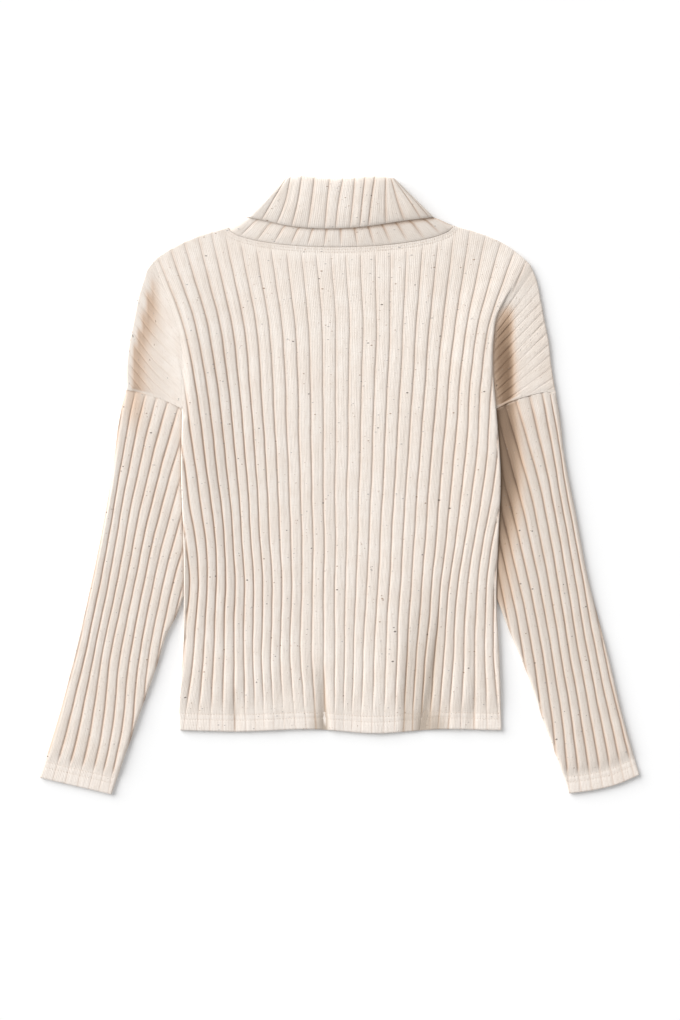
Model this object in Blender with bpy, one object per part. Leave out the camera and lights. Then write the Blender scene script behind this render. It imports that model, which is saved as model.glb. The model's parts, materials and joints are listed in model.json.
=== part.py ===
"""Roll-neck jumper in wide rib knit, laid flat with its back up.

Frame: X across the shoulders, +Y from the hem to the collar, +Z up off the surface. The origin is on the
surface, at the middle of the footprint. Sizes are in millimetres, and add_piece turns them into metres.

The plain front lies on the surface and the ribbed back lies on it. Each sleeve is a flattened tube beside
them. Where the arms are turned down, the back folds at a line beside each shoulder: its middle lies higher
than the two shoulder caps, whose ribs run aslant. The collar is a ring of doubled cloth, a stand sewn to
both necklines and a flap folded down over it.
"""

import math
from collections import namedtuple

import bmesh
import bpy
import numpy as np
from mathutils.geometry import delaunay_2d_cdt

MM = 0.001
SEAM_GAP = 0.35            # between two pieces that are sewn together
LAYER_GAP = 0.3            # between two layers that lie on each other
WALL = 2.0                 # plain cloth
GROOVE_WALL = 1.7          # cloth at the bottom of a groove
RIB = 1.8                  # a rib's height above its grooves
RIB_SHAPE = ((0.0, 0.0), (0.22, 0.82), (0.5, 1.0), (0.78, 0.82), (1.0, 0.0))  # phase between grooves, height
LINE_STEP = 30.0           # between points along a rib
OUTLINE_STEP = 11.0        # between points along an outline
RIM = 1.2                  # width of the rounded rim of a piece
RIB_END = 3.2              # a rib's lines stop this far inside the edge
EDGE_SHARE = 0.5           # the cloth's height at its very edge, over its height inside
ROUND_POWER = 0.6          # how soon a rounded edge reaches its full height

# Where a shoulder folds: the foot lies outside the side line, and its rounded top inside it
FOLD_FOOT, FOLD_SHOULDER, FOLD_TOP = 0.8, 0.5, 2.4
# From a cuff up: the ribs' share of their height on its flat stretch, and the length over which they grow
CUFF_SHARE, CUFF_FLAT, CUFF_FADE = 0.3, 15.0, 18.0
# A sleeve's hollow starts this far inside its sides, and its cutter runs on past the open ends
HOLLOW_SIDE, HOLLOW_PAST, HOLLOW_RINGS = 5.0, 8.0, 17

# Heights of the faces above the surface
FRONT_TOP = WALL
BACK_UNDER = FRONT_TOP + LAYER_GAP
BACK_GROOVE = BACK_UNDER + GROOVE_WALL
SLEEVE_HOLLOW = (1.7, 2.3)
SLEEVE_GROOVE = SLEEVE_HOLLOW[1] + GROOVE_WALL

# Neckline: an ellipse drawn down from the line between the two neck points
NECK_LEFT, NECK_RIGHT = (-122.0, 283.5), (125.0, 285.5)
NECK_DROP_BACK, NECK_DROP_FRONT = 23.0, 80.0

# Side lines of the back's middle, from the hem up. They are its edges below the underarm, and folds above it.
Side = namedtuple("Side", "y left right")
SIDES = (
    Side(-269, -175.5, 178.0),
    Side(-250, -176.5, 177.5),
    Side(-186, -172.0, 175.5),
    Side(-124, -171.0, 172.5),
    Side(-60, -171.5, 174.5),
    Side(10, -174.0, 177.0),
    Side(84, -173.0, 172.0),
    Side(110, -173.0, 169.5),
    Side(136, -173.0, 168.0),
    Side(160, -175.0, 169.0),
    Side(188, -183.0, 173.5),
    Side(201, -187.5, 180.0),
    Side(242, -203.0, 205.0),
    Side(266, -212.0, 220.0),
)
UNDERARM_Y = 84.0

# The back's height along those side lines, over its height in the middle
Rise = namedtuple("Rise", "y rise")
RISES = (Rise(-192, 0.0), Rise(-124, 0.8), Rise(-60, 2.0), Rise(28, 3.0), Rise(94, 3.2), Rise(182, 3.0),
         Rise(226, 1.6), Rise(262, 0.0))
RISE_START, RISE_WIDTH = 8.0, 60.0     # from the side line inwards: full height, then the slope

# Outline of the back, as (x, y) along each edge
HEM = ((-175.5, -269), (-113, -270.5), (-27, -268), (39, -272.5), (108.5, -268), (178, -269))
SEAM_RIGHT = ((172, 84), (191, 93), (208.5, 98.5), (224, 102), (237.5, 101.5))
CAP_RIGHT = ((237.5, 101.5), (232.5, 133.5), (230, 157.5), (225, 182), (221.5, 201.5), (216, 227),
             (209.5, 242.5))
SHOULDER_RIGHT = ((209.5, 242.5), (197.5, 253.5), (182, 264.5), (158, 275.5), NECK_RIGHT)
SHOULDER_LEFT = (NECK_LEFT, (-153.5, 274.5), (-179, 263.5), (-203, 248), (-212, 237))
CAP_LEFT = ((-212, 237), (-215.5, 226), (-220.5, 209.5), (-226, 182), (-230.5, 160), (-233.5, 138),
            (-234, 105))
SEAM_LEFT = ((-234, 105), (-208.5, 98.5), (-192, 93), (-173, 84))
FOLD_END_LEFT, FOLD_END_RIGHT = (-205.5, 246.5), (199.0, 252.0)      # where the folds meet the shoulders

# The free edges of the sleeves
OUTER_LEFT = ((-329.5, -321), (-307.5, -250.5), (-291, -183.5), (-277, -125), (-257, -30.5), (-248, 23.5),
              (-241.5, 77.5), (-234, 105))
INNER_LEFT = ((-171, -121.5), (-177.5, -139.5), (-190, -164.5), (-199.5, -194.5), (-222, -258),
              (-250.5, -339.5))
CUFF_LEFT = ((-250.5, -339.5), (-289, -330.5), (-329.5, -321))
OUTER_RIGHT = ((329.5, -318), (311, -252.5), (295.5, -187.5), (273.5, -103.5), (260, -32.5),
               (246.5, 38), (241.5, 80), (237.5, 101.5))
INNER_RIGHT = ((172.5, -124), (185.5, -157), (205, -204), (224, -259), (237, -294.5), (252.5, -338.5))
CUFF_RIGHT = ((252.5, -338.5), (278, -335), (305, -328.5), (329.5, -318))

# Where the grooves lie: for each level, the place of the grooves whose numbers are marked
Level = namedtuple("Level", "at marks")
BACK_MARKED = (-15, -12, -8, -4, 0, 4, 8, 12, 15, 18)
BACK_GROOVES = (
    Level(-225, (-178, -140, -92, -53.5, -5, 34.5, 83, 122.5, 161, 194)),
    Level(-192, (-172, -138, -94, -54.5, -5, 37, 84, 125, 160, 189)),
    Level(-104, (-164.5, -135, -94, -52.5, -5, 42.5, 91, 130.5, 162, 187)),
    Level(-16, (-177.5, -141.5, -100.5, -54.5, -5, 47, 97.5, 144.5, 177.5, 209)),
    Level(94, (-194, -154.5, -109.5, -59, -4, 52.5, 106, 154.5, 188.5, 222.5)),
    Level(160, (-206, -168, -116, -62, -4, 54.5, 111.5, 161, 197.5, 234)),
    Level(226, (-236, -190, -128, -71, -7, 56.5, 119.5, 181, 227, 273.5)),
)
# On a sleeve the grooves are numbered from its outer edge inwards
SLEEVE_MARKED = (0, 2, 4, 6, 8, 10)
GROOVES_LEFT = (
    Level(-335, (-333, -303.5, -275.5, -253.5, -233, -212.5)),
    Level(-280, (-315.5, -289, -262.5, -241, -219.5, -198.5)),
    Level(-192, (-290.5, -271, -252, -230.5, -210, -190)),
    Level(-104, (-271, -253, -234, -214, -192.5, -170.5)),
    Level(-16, (-254.5, -237.5, -216.5, -193.5, -169, -143.5)),
    Level(72, (-241, -220, -194.5, -167, -139.5, -111.5)),
    Level(110, (-234, -210.5, -183, -154.5, -126, -97.5)),
)
GROOVES_RIGHT = (
    Level(-335, (327, 301.5, 277, 252, 227.5, 203.5)),
    Level(-280, (313.5, 291.5, 269, 247, 224.5, 203)),
    Level(-192, (292.5, 274, 254, 234.5, 213.5, 191.5)),
    Level(-104, (275.5, 259, 239.5, 218.5, 196.5, 176)),
    Level(-16, (258, 243.5, 223.5, 199, 174.5, 150)),
    Level(72, (243.5, 228, 200, 174.5, 148.5, 123)),
    Level(110, (236.5, 221, 189, 162.5, 136.5, 110.5)),
)
# On a shoulder cap the levels are places in x, and the marks are the grooves' y, from the sleeve seam up
CAP_MARKED = tuple(range(9))
GROOVES_CAP_LEFT = (
    Level(-230.5, (109.5, 128, 144.5, 166.5, 186.5, 208.5, 237, 265.5, 290)),
    Level(-175.5, (52, 68.5, 89.5, 104, 123.5, 142.5, 163, 181, 204)),
)
GROOVES_CAP_RIGHT = (
    Level(173, (66.5, 81, 95, 109.5, 125, 144.5, 161, 173, 192)),
    Level(231.5, (106, 122, 143, 163, 186, 205, 226, 254.5, 285.5)),
)

# How high the ribs stand at each level of the back: they lie flatter by the neck and in the turned hem
Depth = namedtuple("Depth", "y share")
BACK_DEPTHS = (Depth(-269, 0.15), Depth(-250, 0.3), Depth(-236, 1.0), Depth(40, 1.0), Depth(160, 0.85),
               Depth(226, 0.6), Depth(262, 0.35))

# The collar's lines, as (x, y) from left to right: the fold at its top, and the edge of the folded flap
FOLD_LINE = ((-59, 338), (-44.5, 339.5), (-17, 337), (11.5, 337.5), (39, 339), (60.5, 337))
FLAP_EDGE = ((-101, 295), (-81, 291), (-55.5, 285.5), (-30.5, 283), (20.5, 284), (71, 291), (103, 295))
# The flap's grooves as shares of those two lines, and the stand's, which are even
FlapGroove = namedtuple("FlapGroove", "fold edge")
FLAP_GROOVES = (
    FlapGroove(0.01, 0.08), FlapGroove(0.045, 0.16), FlapGroove(0.15, 0.24), FlapGroove(0.265, 0.325),
    FlapGroove(0.405, 0.418), FlapGroove(0.53, 0.475), FlapGroove(0.635, 0.552), FlapGroove(0.73, 0.605),
    FlapGroove(0.82, 0.65), FlapGroove(0.92, 0.744), FlapGroove(0.965, 0.842), FlapGroove(0.985, 0.93),
    FlapGroove(0.995, 0.975),
)
FIRST_STAND_GROOVE, STAND_PITCH = 0.053, 0.0745
COLLAR_ROLL = 5.0          # how far the collar rounds off at its two sides
END_STATIONS = (0.05, 0.14)            # in its first and last rib
# Shares of the way across its plain front
FRONT_STATIONS = (0.004, 0.012, 0.03, 0.08, 0.16, 0.26, 0.38, 0.5, 0.62, 0.74, 0.84, 0.92, 0.97, 0.988,
                  0.996)

# The collar wall's section as rings round the neck: from the seam up the stand, down inside the flap, back
# over it to the fold, and down inside the neck. A flap's drop is its share of the way from the fold to the
# flap's edge, and a stand's that from the flap's edge to the seam, at the back and at the front. Inset is
# from the outermost cloth, the z are heights, and rib is the ribs' share of their full height.
Ring = namedtuple("Ring", "part drop front_drop inset back_z front_z rib")
COLLAR = (
    Ring("stand", 1.00, 1.00, 0.0, 4.0, 0.0, 0.6),
    Ring("stand", 0.30, 0.13, 0.0, 5.2, 0.0, 0.8),
    Ring("stand", 0.03, 0.02, 2.3, 6.6, 2.3, 0.0),
    Ring("flap", 0.12, 0.12, 2.3, 6.6, 2.3, 0.0),
    Ring("flap", 0.10, 0.10, 2.0, 6.9, 2.0, 0.0),
    Ring("flap", 1.00, 1.00, 2.0, 6.9, 2.0, 0.0),
    Ring("flap", 1.00, 1.00, 0.0, 8.4, 0.0, 0.3),
    Ring("flap", 0.95, 0.95, 0.0, 8.8, 0.0, 0.8),
    Ring("flap", 0.50, 0.50, 0.0, 8.8, 0.0, 0.8),
    Ring("flap", 0.08, 0.08, 0.0, 8.8, 0.0, 0.8),
    Ring("flap", 0.02, 0.02, 0.0, 7.9, 0.7, 0.4),
    Ring("flap", 0.00, 0.00, 0.3, 6.2, 2.6, 0.0),
    Ring("flap", 0.03, 0.03, 3.0, 4.9, 4.2, 0.0),
    Ring("flap", 1.00, 1.00, 4.3, 4.9, 4.2, 0.0),
    Ring("stand", 0.32, 0.16, 2.6, 3.9, 2.0, 0.0),
    Ring("stand", 1.00, 1.00, 2.0, 2.3, 2.0, 0.0),
)

YARN = (0.84, 0.77, 0.70, 1.0)


# ---------------------------------------------------------------- curves in plan


def smooth(knots, values, at):
    """A smooth curve through the values at the knots, carried on straight past its two ends."""
    knots, values = np.asarray(knots, float), np.asarray(values, float)
    at = np.atleast_1d(np.asarray(at, float))
    slope = np.gradient(values, knots)
    i = np.clip(np.searchsorted(knots, at) - 1, 0, len(knots) - 2)
    width = knots[i + 1] - knots[i]
    t = np.clip((at - knots[i]) / width, 0, 1)
    inside = ((2 * t - 3) * t * t + 1) * values[i] + (3 - 2 * t) * t * t * values[i + 1]
    inside += ((t - 2) * t + 1) * t * width * slope[i] + (t - 1) * t * t * width * slope[i + 1]
    past = np.minimum(at - knots[0], 0) * slope[0] + np.maximum(at - knots[-1], 0) * slope[-1]
    return inside + past


def through(points, step=OUTLINE_STEP):
    """Points about step apart on a smooth curve through the given ones, both ends included."""
    points = np.asarray(points, float)
    run = np.concatenate([[0], np.cumsum(np.hypot(*np.diff(points, axis=0).T))])
    at = np.linspace(0, run[-1], max(2, round(run[-1] / step) + 1))
    return np.stack([smooth(run, points[:, 0], at), smooth(run, points[:, 1], at)], axis=-1)


def chain(*curves):
    """One closed outline of the curves in turn, each starting where the last one ends."""
    return np.concatenate([curve[:-1] for curve in curves])


def side_x(which, y):
    return smooth([s.y for s in SIDES], [getattr(s, which) for s in SIDES], y)


def side_curve(which, low, high, shift=0.0, step=OUTLINE_STEP):
    y = np.linspace(low, high, max(2, round(abs(high - low) / step) + 1))
    return np.stack([side_x(which, y) + shift, y], axis=-1)


def neckline(drop, share, grow=0.0):
    """The point at that share of the way from the left neck point to the right one."""
    along = 2 * np.asarray(share, float) - 1
    middle = (NECK_LEFT[0] + NECK_RIGHT[0]) / 2
    half = (NECK_RIGHT[0] - NECK_LEFT[0]) / 2 + grow
    level = NECK_LEFT[1] + (NECK_RIGHT[1] - NECK_LEFT[1]) * (along + 1) / 2
    return np.stack([middle + half * along, level - (drop + grow) * np.sqrt(1 - along**2)], axis=-1)


def neck_curve(drop):
    """The panel's neck edge from right to left, its seam gap outside the collar's."""
    turn = np.linspace(0, math.pi, 31)
    return neckline(drop, (1 + np.cos(turn)) / 2, SEAM_GAP)


def body_outline(drop):
    neck = neck_curve(drop)
    right = through((*SHOULDER_RIGHT[:-1], tuple(neck[0])))
    left = through((tuple(neck[-1]), *SHOULDER_LEFT[1:]))
    up = through(HEM), side_curve("right", HEM[-1][1], UNDERARM_Y), through(SEAM_RIGHT), through(CAP_RIGHT)
    down = through(CAP_LEFT), through(SEAM_LEFT), side_curve("left", UNDERARM_Y, HEM[0][1])
    return chain(*up, right, neck, left, *down)


def middle_outline():
    """The back without its caps: its sides run on up the folds to the shoulders."""
    neck = neck_curve(NECK_DROP_BACK)
    right = through((FOLD_END_RIGHT, *SHOULDER_RIGHT[2:-1], tuple(neck[0])))
    left = through((tuple(neck[-1]), *SHOULDER_LEFT[1:3], FOLD_END_LEFT))
    up = through(HEM), side_curve("right", HEM[-1][1], FOLD_END_RIGHT[1])
    return chain(*up, right, neck, left, side_curve("left", FOLD_END_LEFT[1], HEM[0][1]))


def cap_outline(which, seam, cap):
    """One shoulder cap: sleeve seam, outer edge and the fold that parts it from the middle."""
    fold = side_curve(which, UNDERARM_Y, cap[-1][1] if which == "right" else cap[0][1])
    if which == "right":
        return chain(through(seam), through(cap), fold[::-1])
    return chain(through(cap), through(seam), fold)


def inside(points, outline):
    """Which points lie in the closed outline."""
    x, y = points[:, 0][:, None], points[:, 1][:, None]
    a, b = outline, np.roll(outline, -1, axis=0)
    spans = (a[:, 1] > y) != (b[:, 1] > y)
    rise = np.where(b[:, 1] == a[:, 1], 1.0, b[:, 1] - a[:, 1])
    return (spans & (x < a[:, 0] + (y - a[:, 1]) / rise * (b[:, 0] - a[:, 0]))).sum(axis=1) % 2 == 1


def distance(points, line):
    """How far each point is from the line."""
    run = np.diff(line, axis=0)[None]
    to = points[:, None] - line[None, :-1]
    t = np.clip((to * run).sum(-1) / (run**2).sum(-1), 0, 1)
    return np.hypot(*np.moveaxis(to - run * t[..., None], -1, 0)).min(axis=1)


def clearance(points, outline):
    """How far each point is from the closed outline's line."""
    return distance(points, np.concatenate([outline, outline[:1]]))


def inset(outline, by):
    """The outline moved inwards. It runs anticlockwise."""
    along = np.roll(outline, -1, axis=0) - np.roll(outline, 1, axis=0)
    along /= np.hypot(*along.T)[:, None]
    return outline + by * np.stack([-along[:, 1], along[:, 0]], axis=-1)


# ---------------------------------------------------------------- ribs


class Ribs:
    """The course of a piece's grooves. Along is the way they run, x or y, and across is the other."""

    STEP, SHARE = 5.0, 0.25        # of the grid of places: between levels, and between groove numbers
    PAST = 75.0                    # the grid reaches this far past the table
    FINE, SHORTEST = 1.5, 7.0      # a line is cut to this length, and is left out under that one

    def __init__(self, levels, marked, along="y"):
        self.along = along
        at = [level.at for level in levels]
        self.levels = np.arange(min(at) - self.PAST, max(at) + self.PAST, self.STEP)
        self.numbers = np.arange(marked[0] - 1, marked[-1] + 1 + self.SHARE / 2, self.SHARE)
        marks = np.array([level.marks for level in levels], float)
        columns = [smooth(at, marks[:, i], self.levels) for i in range(len(marked))]
        self.places = np.array([smooth(marked, row, self.numbers) for row in np.transpose(columns)])

    def across(self, level):
        """The places of all numbers at one level."""
        i = np.clip((level - self.levels[0]) / self.STEP, 0, len(self.levels) - 1.001)
        low = int(i)
        return self.places[low] + (i - low) * (self.places[low + 1] - self.places[low])

    def number(self, x, y):
        """The groove number at a point: whole at a groove, a half on the crest between two."""
        level, place = (y, x) if self.along == "y" else (x, y)
        row = self.across(level)
        if row[0] > row[-1]:
            return float(np.interp(place, row[::-1], self.numbers[::-1]))
        return float(np.interp(place, row, self.numbers))

    def height(self, x, y):
        """0 at a groove, 1 on a crest."""
        phase = self.number(x, y) % 1.0
        return float(np.interp(phase, *np.transpose(RIB_SHAPE)))

    def lines(self, area, margin=RIB_END):
        """Every groove, shoulder and crest line, cut off at the margin inside the area's outline."""
        way = 1 if self.along == "y" else 0
        fine = np.arange(area[:, way].min(), area[:, way].max(), self.FINE)
        rows = np.array([self.across(level) for level in fine])
        first, last = int(math.ceil(self.numbers[0])), int(self.numbers[-1])
        found = []
        for whole in range(first, last):
            for phase, _ in RIB_SHAPE[:-1]:
                place = np.array([np.interp(whole + phase, self.numbers, row) for row in rows])
                line = np.stack([place, fine] if self.along == "y" else [fine, place], axis=-1)
                keep = inside(line, area)
                keep[keep] = clearance(line[keep], area) > margin
                for run in runs(keep):
                    if len(run) * self.FINE > self.SHORTEST:
                        found.append(self.thin(line[run]))
        return found

    def thin(self, line):
        """The line with points only at its ends and at whole steps, so that neighbours' points line up."""
        at = line[:, 1] if self.along == "y" else line[:, 0]
        grid = np.arange(math.ceil(at[0] / LINE_STEP) * LINE_STEP, at[-1], LINE_STEP)
        grid = [g for g in grid if g - at[0] > LINE_STEP / 4 and at[-1] - g > LINE_STEP / 4]
        keep = [0] + [int(np.abs(at - g).argmin()) for g in grid] + [len(line) - 1]
        return line[keep]


def runs(keep):
    """The index runs where keep holds."""
    ends = np.flatnonzero(np.diff(np.concatenate([[0], keep.astype(int), [0]])))
    return [np.arange(a, b) for a, b in zip(ends[::2], ends[1::2])]


# ---------------------------------------------------------------- solids


def triangulate(loops, lines):
    """Triangles of the first loop's inside that hold every point and line given."""
    points, edges = [], []
    for loop in loops:
        start = len(points)
        points += [tuple(p) for p in loop]
        edges += [(start + i, start + (i + 1) % len(loop)) for i in range(len(loop))]
    for line in lines:
        start = len(points)
        points += [tuple(p) for p in line]
        edges += [(start + i, start + i + 1) for i in range(len(line) - 1)]
    made, _, faces, *_ = delaunay_2d_cdt(points, edges, [], 0, 1e-4)
    made, faces = np.array([tuple(p) for p in made]), np.array(faces)
    middle = made[faces].mean(axis=1)
    return made, faces[inside(middle, loops[0])]


def add_sheet(mesh, points, faces, heights):
    verts = {}
    for i in np.unique(faces):
        verts[i] = mesh.verts.new((*points[i], heights[i]))
    made = []
    for face in faces:
        a, b, c = points[face]
        turn = (b[0] - a[0]) * (c[1] - a[1]) - (b[1] - a[1]) * (c[0] - a[0])
        made.append(mesh.faces.new([verts[i] for i in (face if turn > 0 else face[::-1])]))
    return made


def rim_loop(mesh):
    """The vertices round the open edge of the sheet, in order."""
    rim = {}
    for edge in mesh.edges:
        if len(edge.link_loops) == 1:
            loop = edge.link_loops[0]
            rim[loop.vert] = loop.link_loop_next.vert
    start = next(iter(rim))
    loop = [start]
    while rim[loop[-1]] is not start:
        loop.append(rim[loop[-1]])
    return loop


def place_of(vert):
    return round(vert.co.x, 3), round(vert.co.y, 3)


def cloth_wall(outline, lines, top, under, under_lines=()):
    """A closed wall of cloth. Its upper face holds the lines, and its plain under face shares the rim."""
    mesh = bmesh.new()
    points, faces = triangulate([outline, inset(outline, RIM)], lines)
    add_sheet(mesh, points, faces, [top(*p) for p in points])
    upper = rim_loop(mesh)
    upper_count = len(mesh.verts)
    points, faces = triangulate([np.array([v.co[:2] for v in upper])], under_lines)
    lower_faces = add_sheet(mesh, points, faces, [under(*p) for p in points])
    bmesh.ops.reverse_faces(mesh, faces=lower_faces)
    mesh.verts.ensure_lookup_table()
    lower = {place_of(vert): vert for vert in mesh.verts[upper_count:]}
    below = [lower[place_of(vert)] for vert in upper]
    for i, vert in enumerate(upper):
        j = (i + 1) % len(upper)
        mesh.faces.new((vert, below[i], below[j], upper[j]))
    return mesh


def loft(rings):
    """A closed tube of rings, each a list of points, joined in turn and the last to the first."""
    mesh = bmesh.new()
    made = [[mesh.verts.new(p) for p in ring] for ring in rings]
    for i, ring in enumerate(made):
        after = made[(i + 1) % len(made)]
        for j in range(len(ring)):
            k = (j + 1) % len(ring)
            mesh.faces.new((ring[j], ring[k], after[k], after[j]))
    return mesh


def yarn_material(name):
    material = bpy.data.materials.new(name)
    material.use_nodes = True
    shader = material.node_tree.nodes["Principled BSDF"]
    shader.inputs["Base Color"].default_value = YARN
    shader.inputs["Roughness"].default_value = 0.95
    shader.inputs["Metallic"].default_value = 0.0
    return material


def add_piece(name, mesh):
    bmesh.ops.recalc_face_normals(mesh, faces=mesh.faces)
    if mesh.calc_volume(signed=True) < 0:
        bmesh.ops.reverse_faces(mesh, faces=mesh.faces)
    bmesh.ops.scale(mesh, vec=(MM, MM, MM), verts=mesh.verts)
    data = bpy.data.meshes.new(name)
    mesh.to_mesh(data)
    mesh.free()
    data.materials.append(yarn_material(name))
    data.shade_smooth()
    data.set_sharp_from_angle(angle=math.radians(60))
    piece = bpy.data.objects.new(name, data)
    bpy.context.scene.collection.objects.link(piece)
    return piece


# ---------------------------------------------------------------- heights


def rounded(inward):
    """The share of full height at a distance inside an edge."""
    return EDGE_SHARE + (1 - EDGE_SHARE) * min(1.0, max(0.0, inward) / RIB_END) ** ROUND_POWER


def ease(t):
    t = min(1.0, max(0.0, t))
    return t * t * (3 - 2 * t)


class Back:
    """The ribbed back with its two caps."""

    def __init__(self):
        self.outline = body_outline(NECK_DROP_BACK)
        self.areas = {
            "middle": (middle_outline(), Ribs(BACK_GROOVES, BACK_MARKED)),
            "left": (cap_outline("left", SEAM_LEFT, CAP_LEFT), Ribs(GROOVES_CAP_LEFT, CAP_MARKED, "x")),
            "right": (cap_outline("right", SEAM_RIGHT, CAP_RIGHT), Ribs(GROOVES_CAP_RIGHT, CAP_MARKED, "x")),
        }

    def from_fold(self, x, y):
        """How far a point is inside the nearer side line; less than 0 on a cap."""
        left, right = x - side_x("left", y)[0], side_x("right", y)[0] - x
        return min(left, right), "left" if left < right else "right"

    def rise(self, inward, y):
        level = float(np.interp(y, [r.y for r in RISES], [r.rise for r in RISES]))
        return level * (1 - ease((inward - RISE_START) / RISE_WIDTH))

    def ribbed(self, area, x, y):
        share = float(np.interp(y, [d.y for d in BACK_DEPTHS], [d.share for d in BACK_DEPTHS]))
        return RIB * share * self.areas[area][1].height(x, y)

    def top(self, x, y):
        inward, side = self.from_fold(x, y)
        middle = BACK_GROOVE + self.rise(inward, y) + self.ribbed("middle", x, y)
        cap = BACK_GROOVE + self.ribbed(side, x, y)
        if y > UNDERARM_Y:
            over = min(1.0, max(0.0, (inward + FOLD_FOOT) / (FOLD_FOOT + FOLD_TOP))) ** ROUND_POWER
            full = cap + (middle - cap) * over
        else:
            full = middle
        edge = float(clearance(np.array([[x, y]]), self.outline)[0])
        return BACK_UNDER + (full - BACK_UNDER) * rounded(edge)

    def under(self, x, y):
        inward, _ = self.from_fold(x, y)
        return BACK_UNDER + (self.rise(inward, y) if inward > FOLD_TOP else 0.0)

    def fold_lines(self, offsets, low):
        """Lines beside the two side lines, cut off inside the outline."""
        found = []
        for which, inward in (("left", 1), ("right", -1)):
            for offset in offsets:
                line = side_curve(which, low, SIDES[-1].y, inward * offset)
                keep = inside(line, self.outline)
                keep[keep] = clearance(line[keep], self.outline) > RIM + FOLD_FOOT
                found += [line[run] for run in runs(keep) if len(run) > 1]
        return found

    def mesh(self):
        lines = self.fold_lines((-FOLD_FOOT, FOLD_SHOULDER, FOLD_TOP), UNDERARM_Y)
        for name, (area, ribs) in self.areas.items():
            lines += ribs.lines(area, RIB_END + (FOLD_SHOULDER if name == "middle" else 0.0))
        slope = (FOLD_SHOULDER, 2 * FOLD_TOP, RISE_START + RISE_WIDTH / 2, RISE_START + RISE_WIDTH)
        under_lines = self.fold_lines(slope, RISES[0].y)
        return cloth_wall(self.outline, lines, self.top, self.under, under_lines)


def front_mesh():
    """The front: plain cloth, flat on the surface."""
    outline = body_outline(NECK_DROP_FRONT)

    def top(x, y):
        at_edge = clearance(np.array([[x, y]]), outline)[0] < RIM / 2
        return FRONT_TOP * (EDGE_SHARE if at_edge else 1.0)

    return cloth_wall(outline, [], top, lambda x, y: 0.0)


def sleeve_outline(which, outer, inner, cuff, seam):
    """Anticlockwise. The hidden part of the inner edge runs along the back's side."""
    away = -1 if which == "left" else 1
    seam = through(seam) - (0, SEAM_GAP)
    hidden = side_curve(which, inner[0][1], UNDERARM_Y - SEAM_GAP, away * SEAM_GAP)
    seam[-1 if which == "left" else 0] = hidden[-1]
    inner = through((tuple(hidden[0]),) + inner[1:])
    corner = tuple(seam[0 if which == "left" else -1])
    outer = through(outer[:-1] + (corner,))
    if which == "left":
        return chain(seam, hidden[::-1], inner, through(cuff), outer)[::-1]
    return chain(seam, outer[::-1], through(cuff)[::-1], inner[::-1], hidden)[::-1]


def sleeve_mesh(outline, ribs, cuff):
    cuff_line = np.array(cuff, float)

    def top(x, y):
        point = np.array([[x, y]])
        from_cuff = float(distance(point, cuff_line)[0])
        share = CUFF_SHARE + (1 - CUFF_SHARE) * ease((from_cuff - CUFF_FLAT) / CUFF_FADE)
        wall = GROOVE_WALL + RIB * share * ribs.height(x, y)
        return SLEEVE_HOLLOW[1] + wall * rounded(float(clearance(point, outline)[0]))

    return cloth_wall(outline, ribs.lines(outline), top, lambda x, y: 0.0)


def hollow_cutter(name, outer, inner, which):
    """The flat space inside a sleeve, a ribbon from past the cuff to past the seam."""
    away = -1 if which == "left" else 1
    outer_line = np.array(outer, float)
    hidden = side_curve(which, inner[0][1], UNDERARM_Y)[1:]
    inner_line = np.concatenate([np.array(inner[::-1], float), hidden])
    low, high = SLEEVE_HOLLOW
    ends = min(inner_line[:, 1]) - HOLLOW_PAST, max(outer_line[:, 1]) + HOLLOW_PAST
    mesh = bmesh.new()
    rings = []
    for y in np.linspace(*ends, HOLLOW_RINGS):
        a = smooth(outer_line[:, 1], outer_line[:, 0], y)[0] - away * HOLLOW_SIDE
        b = smooth(inner_line[:, 1], inner_line[:, 0], y)[0] + away * HOLLOW_SIDE
        rings.append([mesh.verts.new(p) for p in ((a, y, low), (b, y, low), (b, y, high), (a, y, high))])
    for first, second in zip(rings, rings[1:]):
        for i in range(4):
            j = (i + 1) % 4
            mesh.faces.new((first[i], first[j], second[j], second[i]))
    mesh.faces.new(rings[0][::-1])
    mesh.faces.new(rings[-1])
    cutter = add_piece(name, mesh)
    cutter.hide_render = True
    cutter.display_type = "WIRE"
    return cutter


def add_sleeve(which, outer, inner, cuff, seam, levels):
    """A flattened tube, open at its cuff and at its seam."""
    ribs = Ribs(levels, SLEEVE_MARKED)
    outline = sleeve_outline(which, outer, inner, cuff, seam)
    piece = add_piece(f"{which}_sleeve", sleeve_mesh(outline, ribs, cuff))
    cut = piece.modifiers.new("hollow", "BOOLEAN")
    cut.operation = "DIFFERENCE"
    cut.solver = "EXACT"
    cut.object = hollow_cutter(f"{which}_sleeve_hollow", outer, inner, which)
    return piece


# ---------------------------------------------------------------- collar

def on_line(points, share):
    """The point at a share of the way across a line given from left to right."""
    points = np.asarray(points, float)
    x = points[0, 0] + (points[-1, 0] - points[0, 0]) * np.asarray(share, float)
    return np.stack([x, smooth(points[:, 0], points[:, 1], x)], axis=-1)


def between(upper, lower, drop):
    return upper * (1 - drop) + lower * drop


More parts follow.
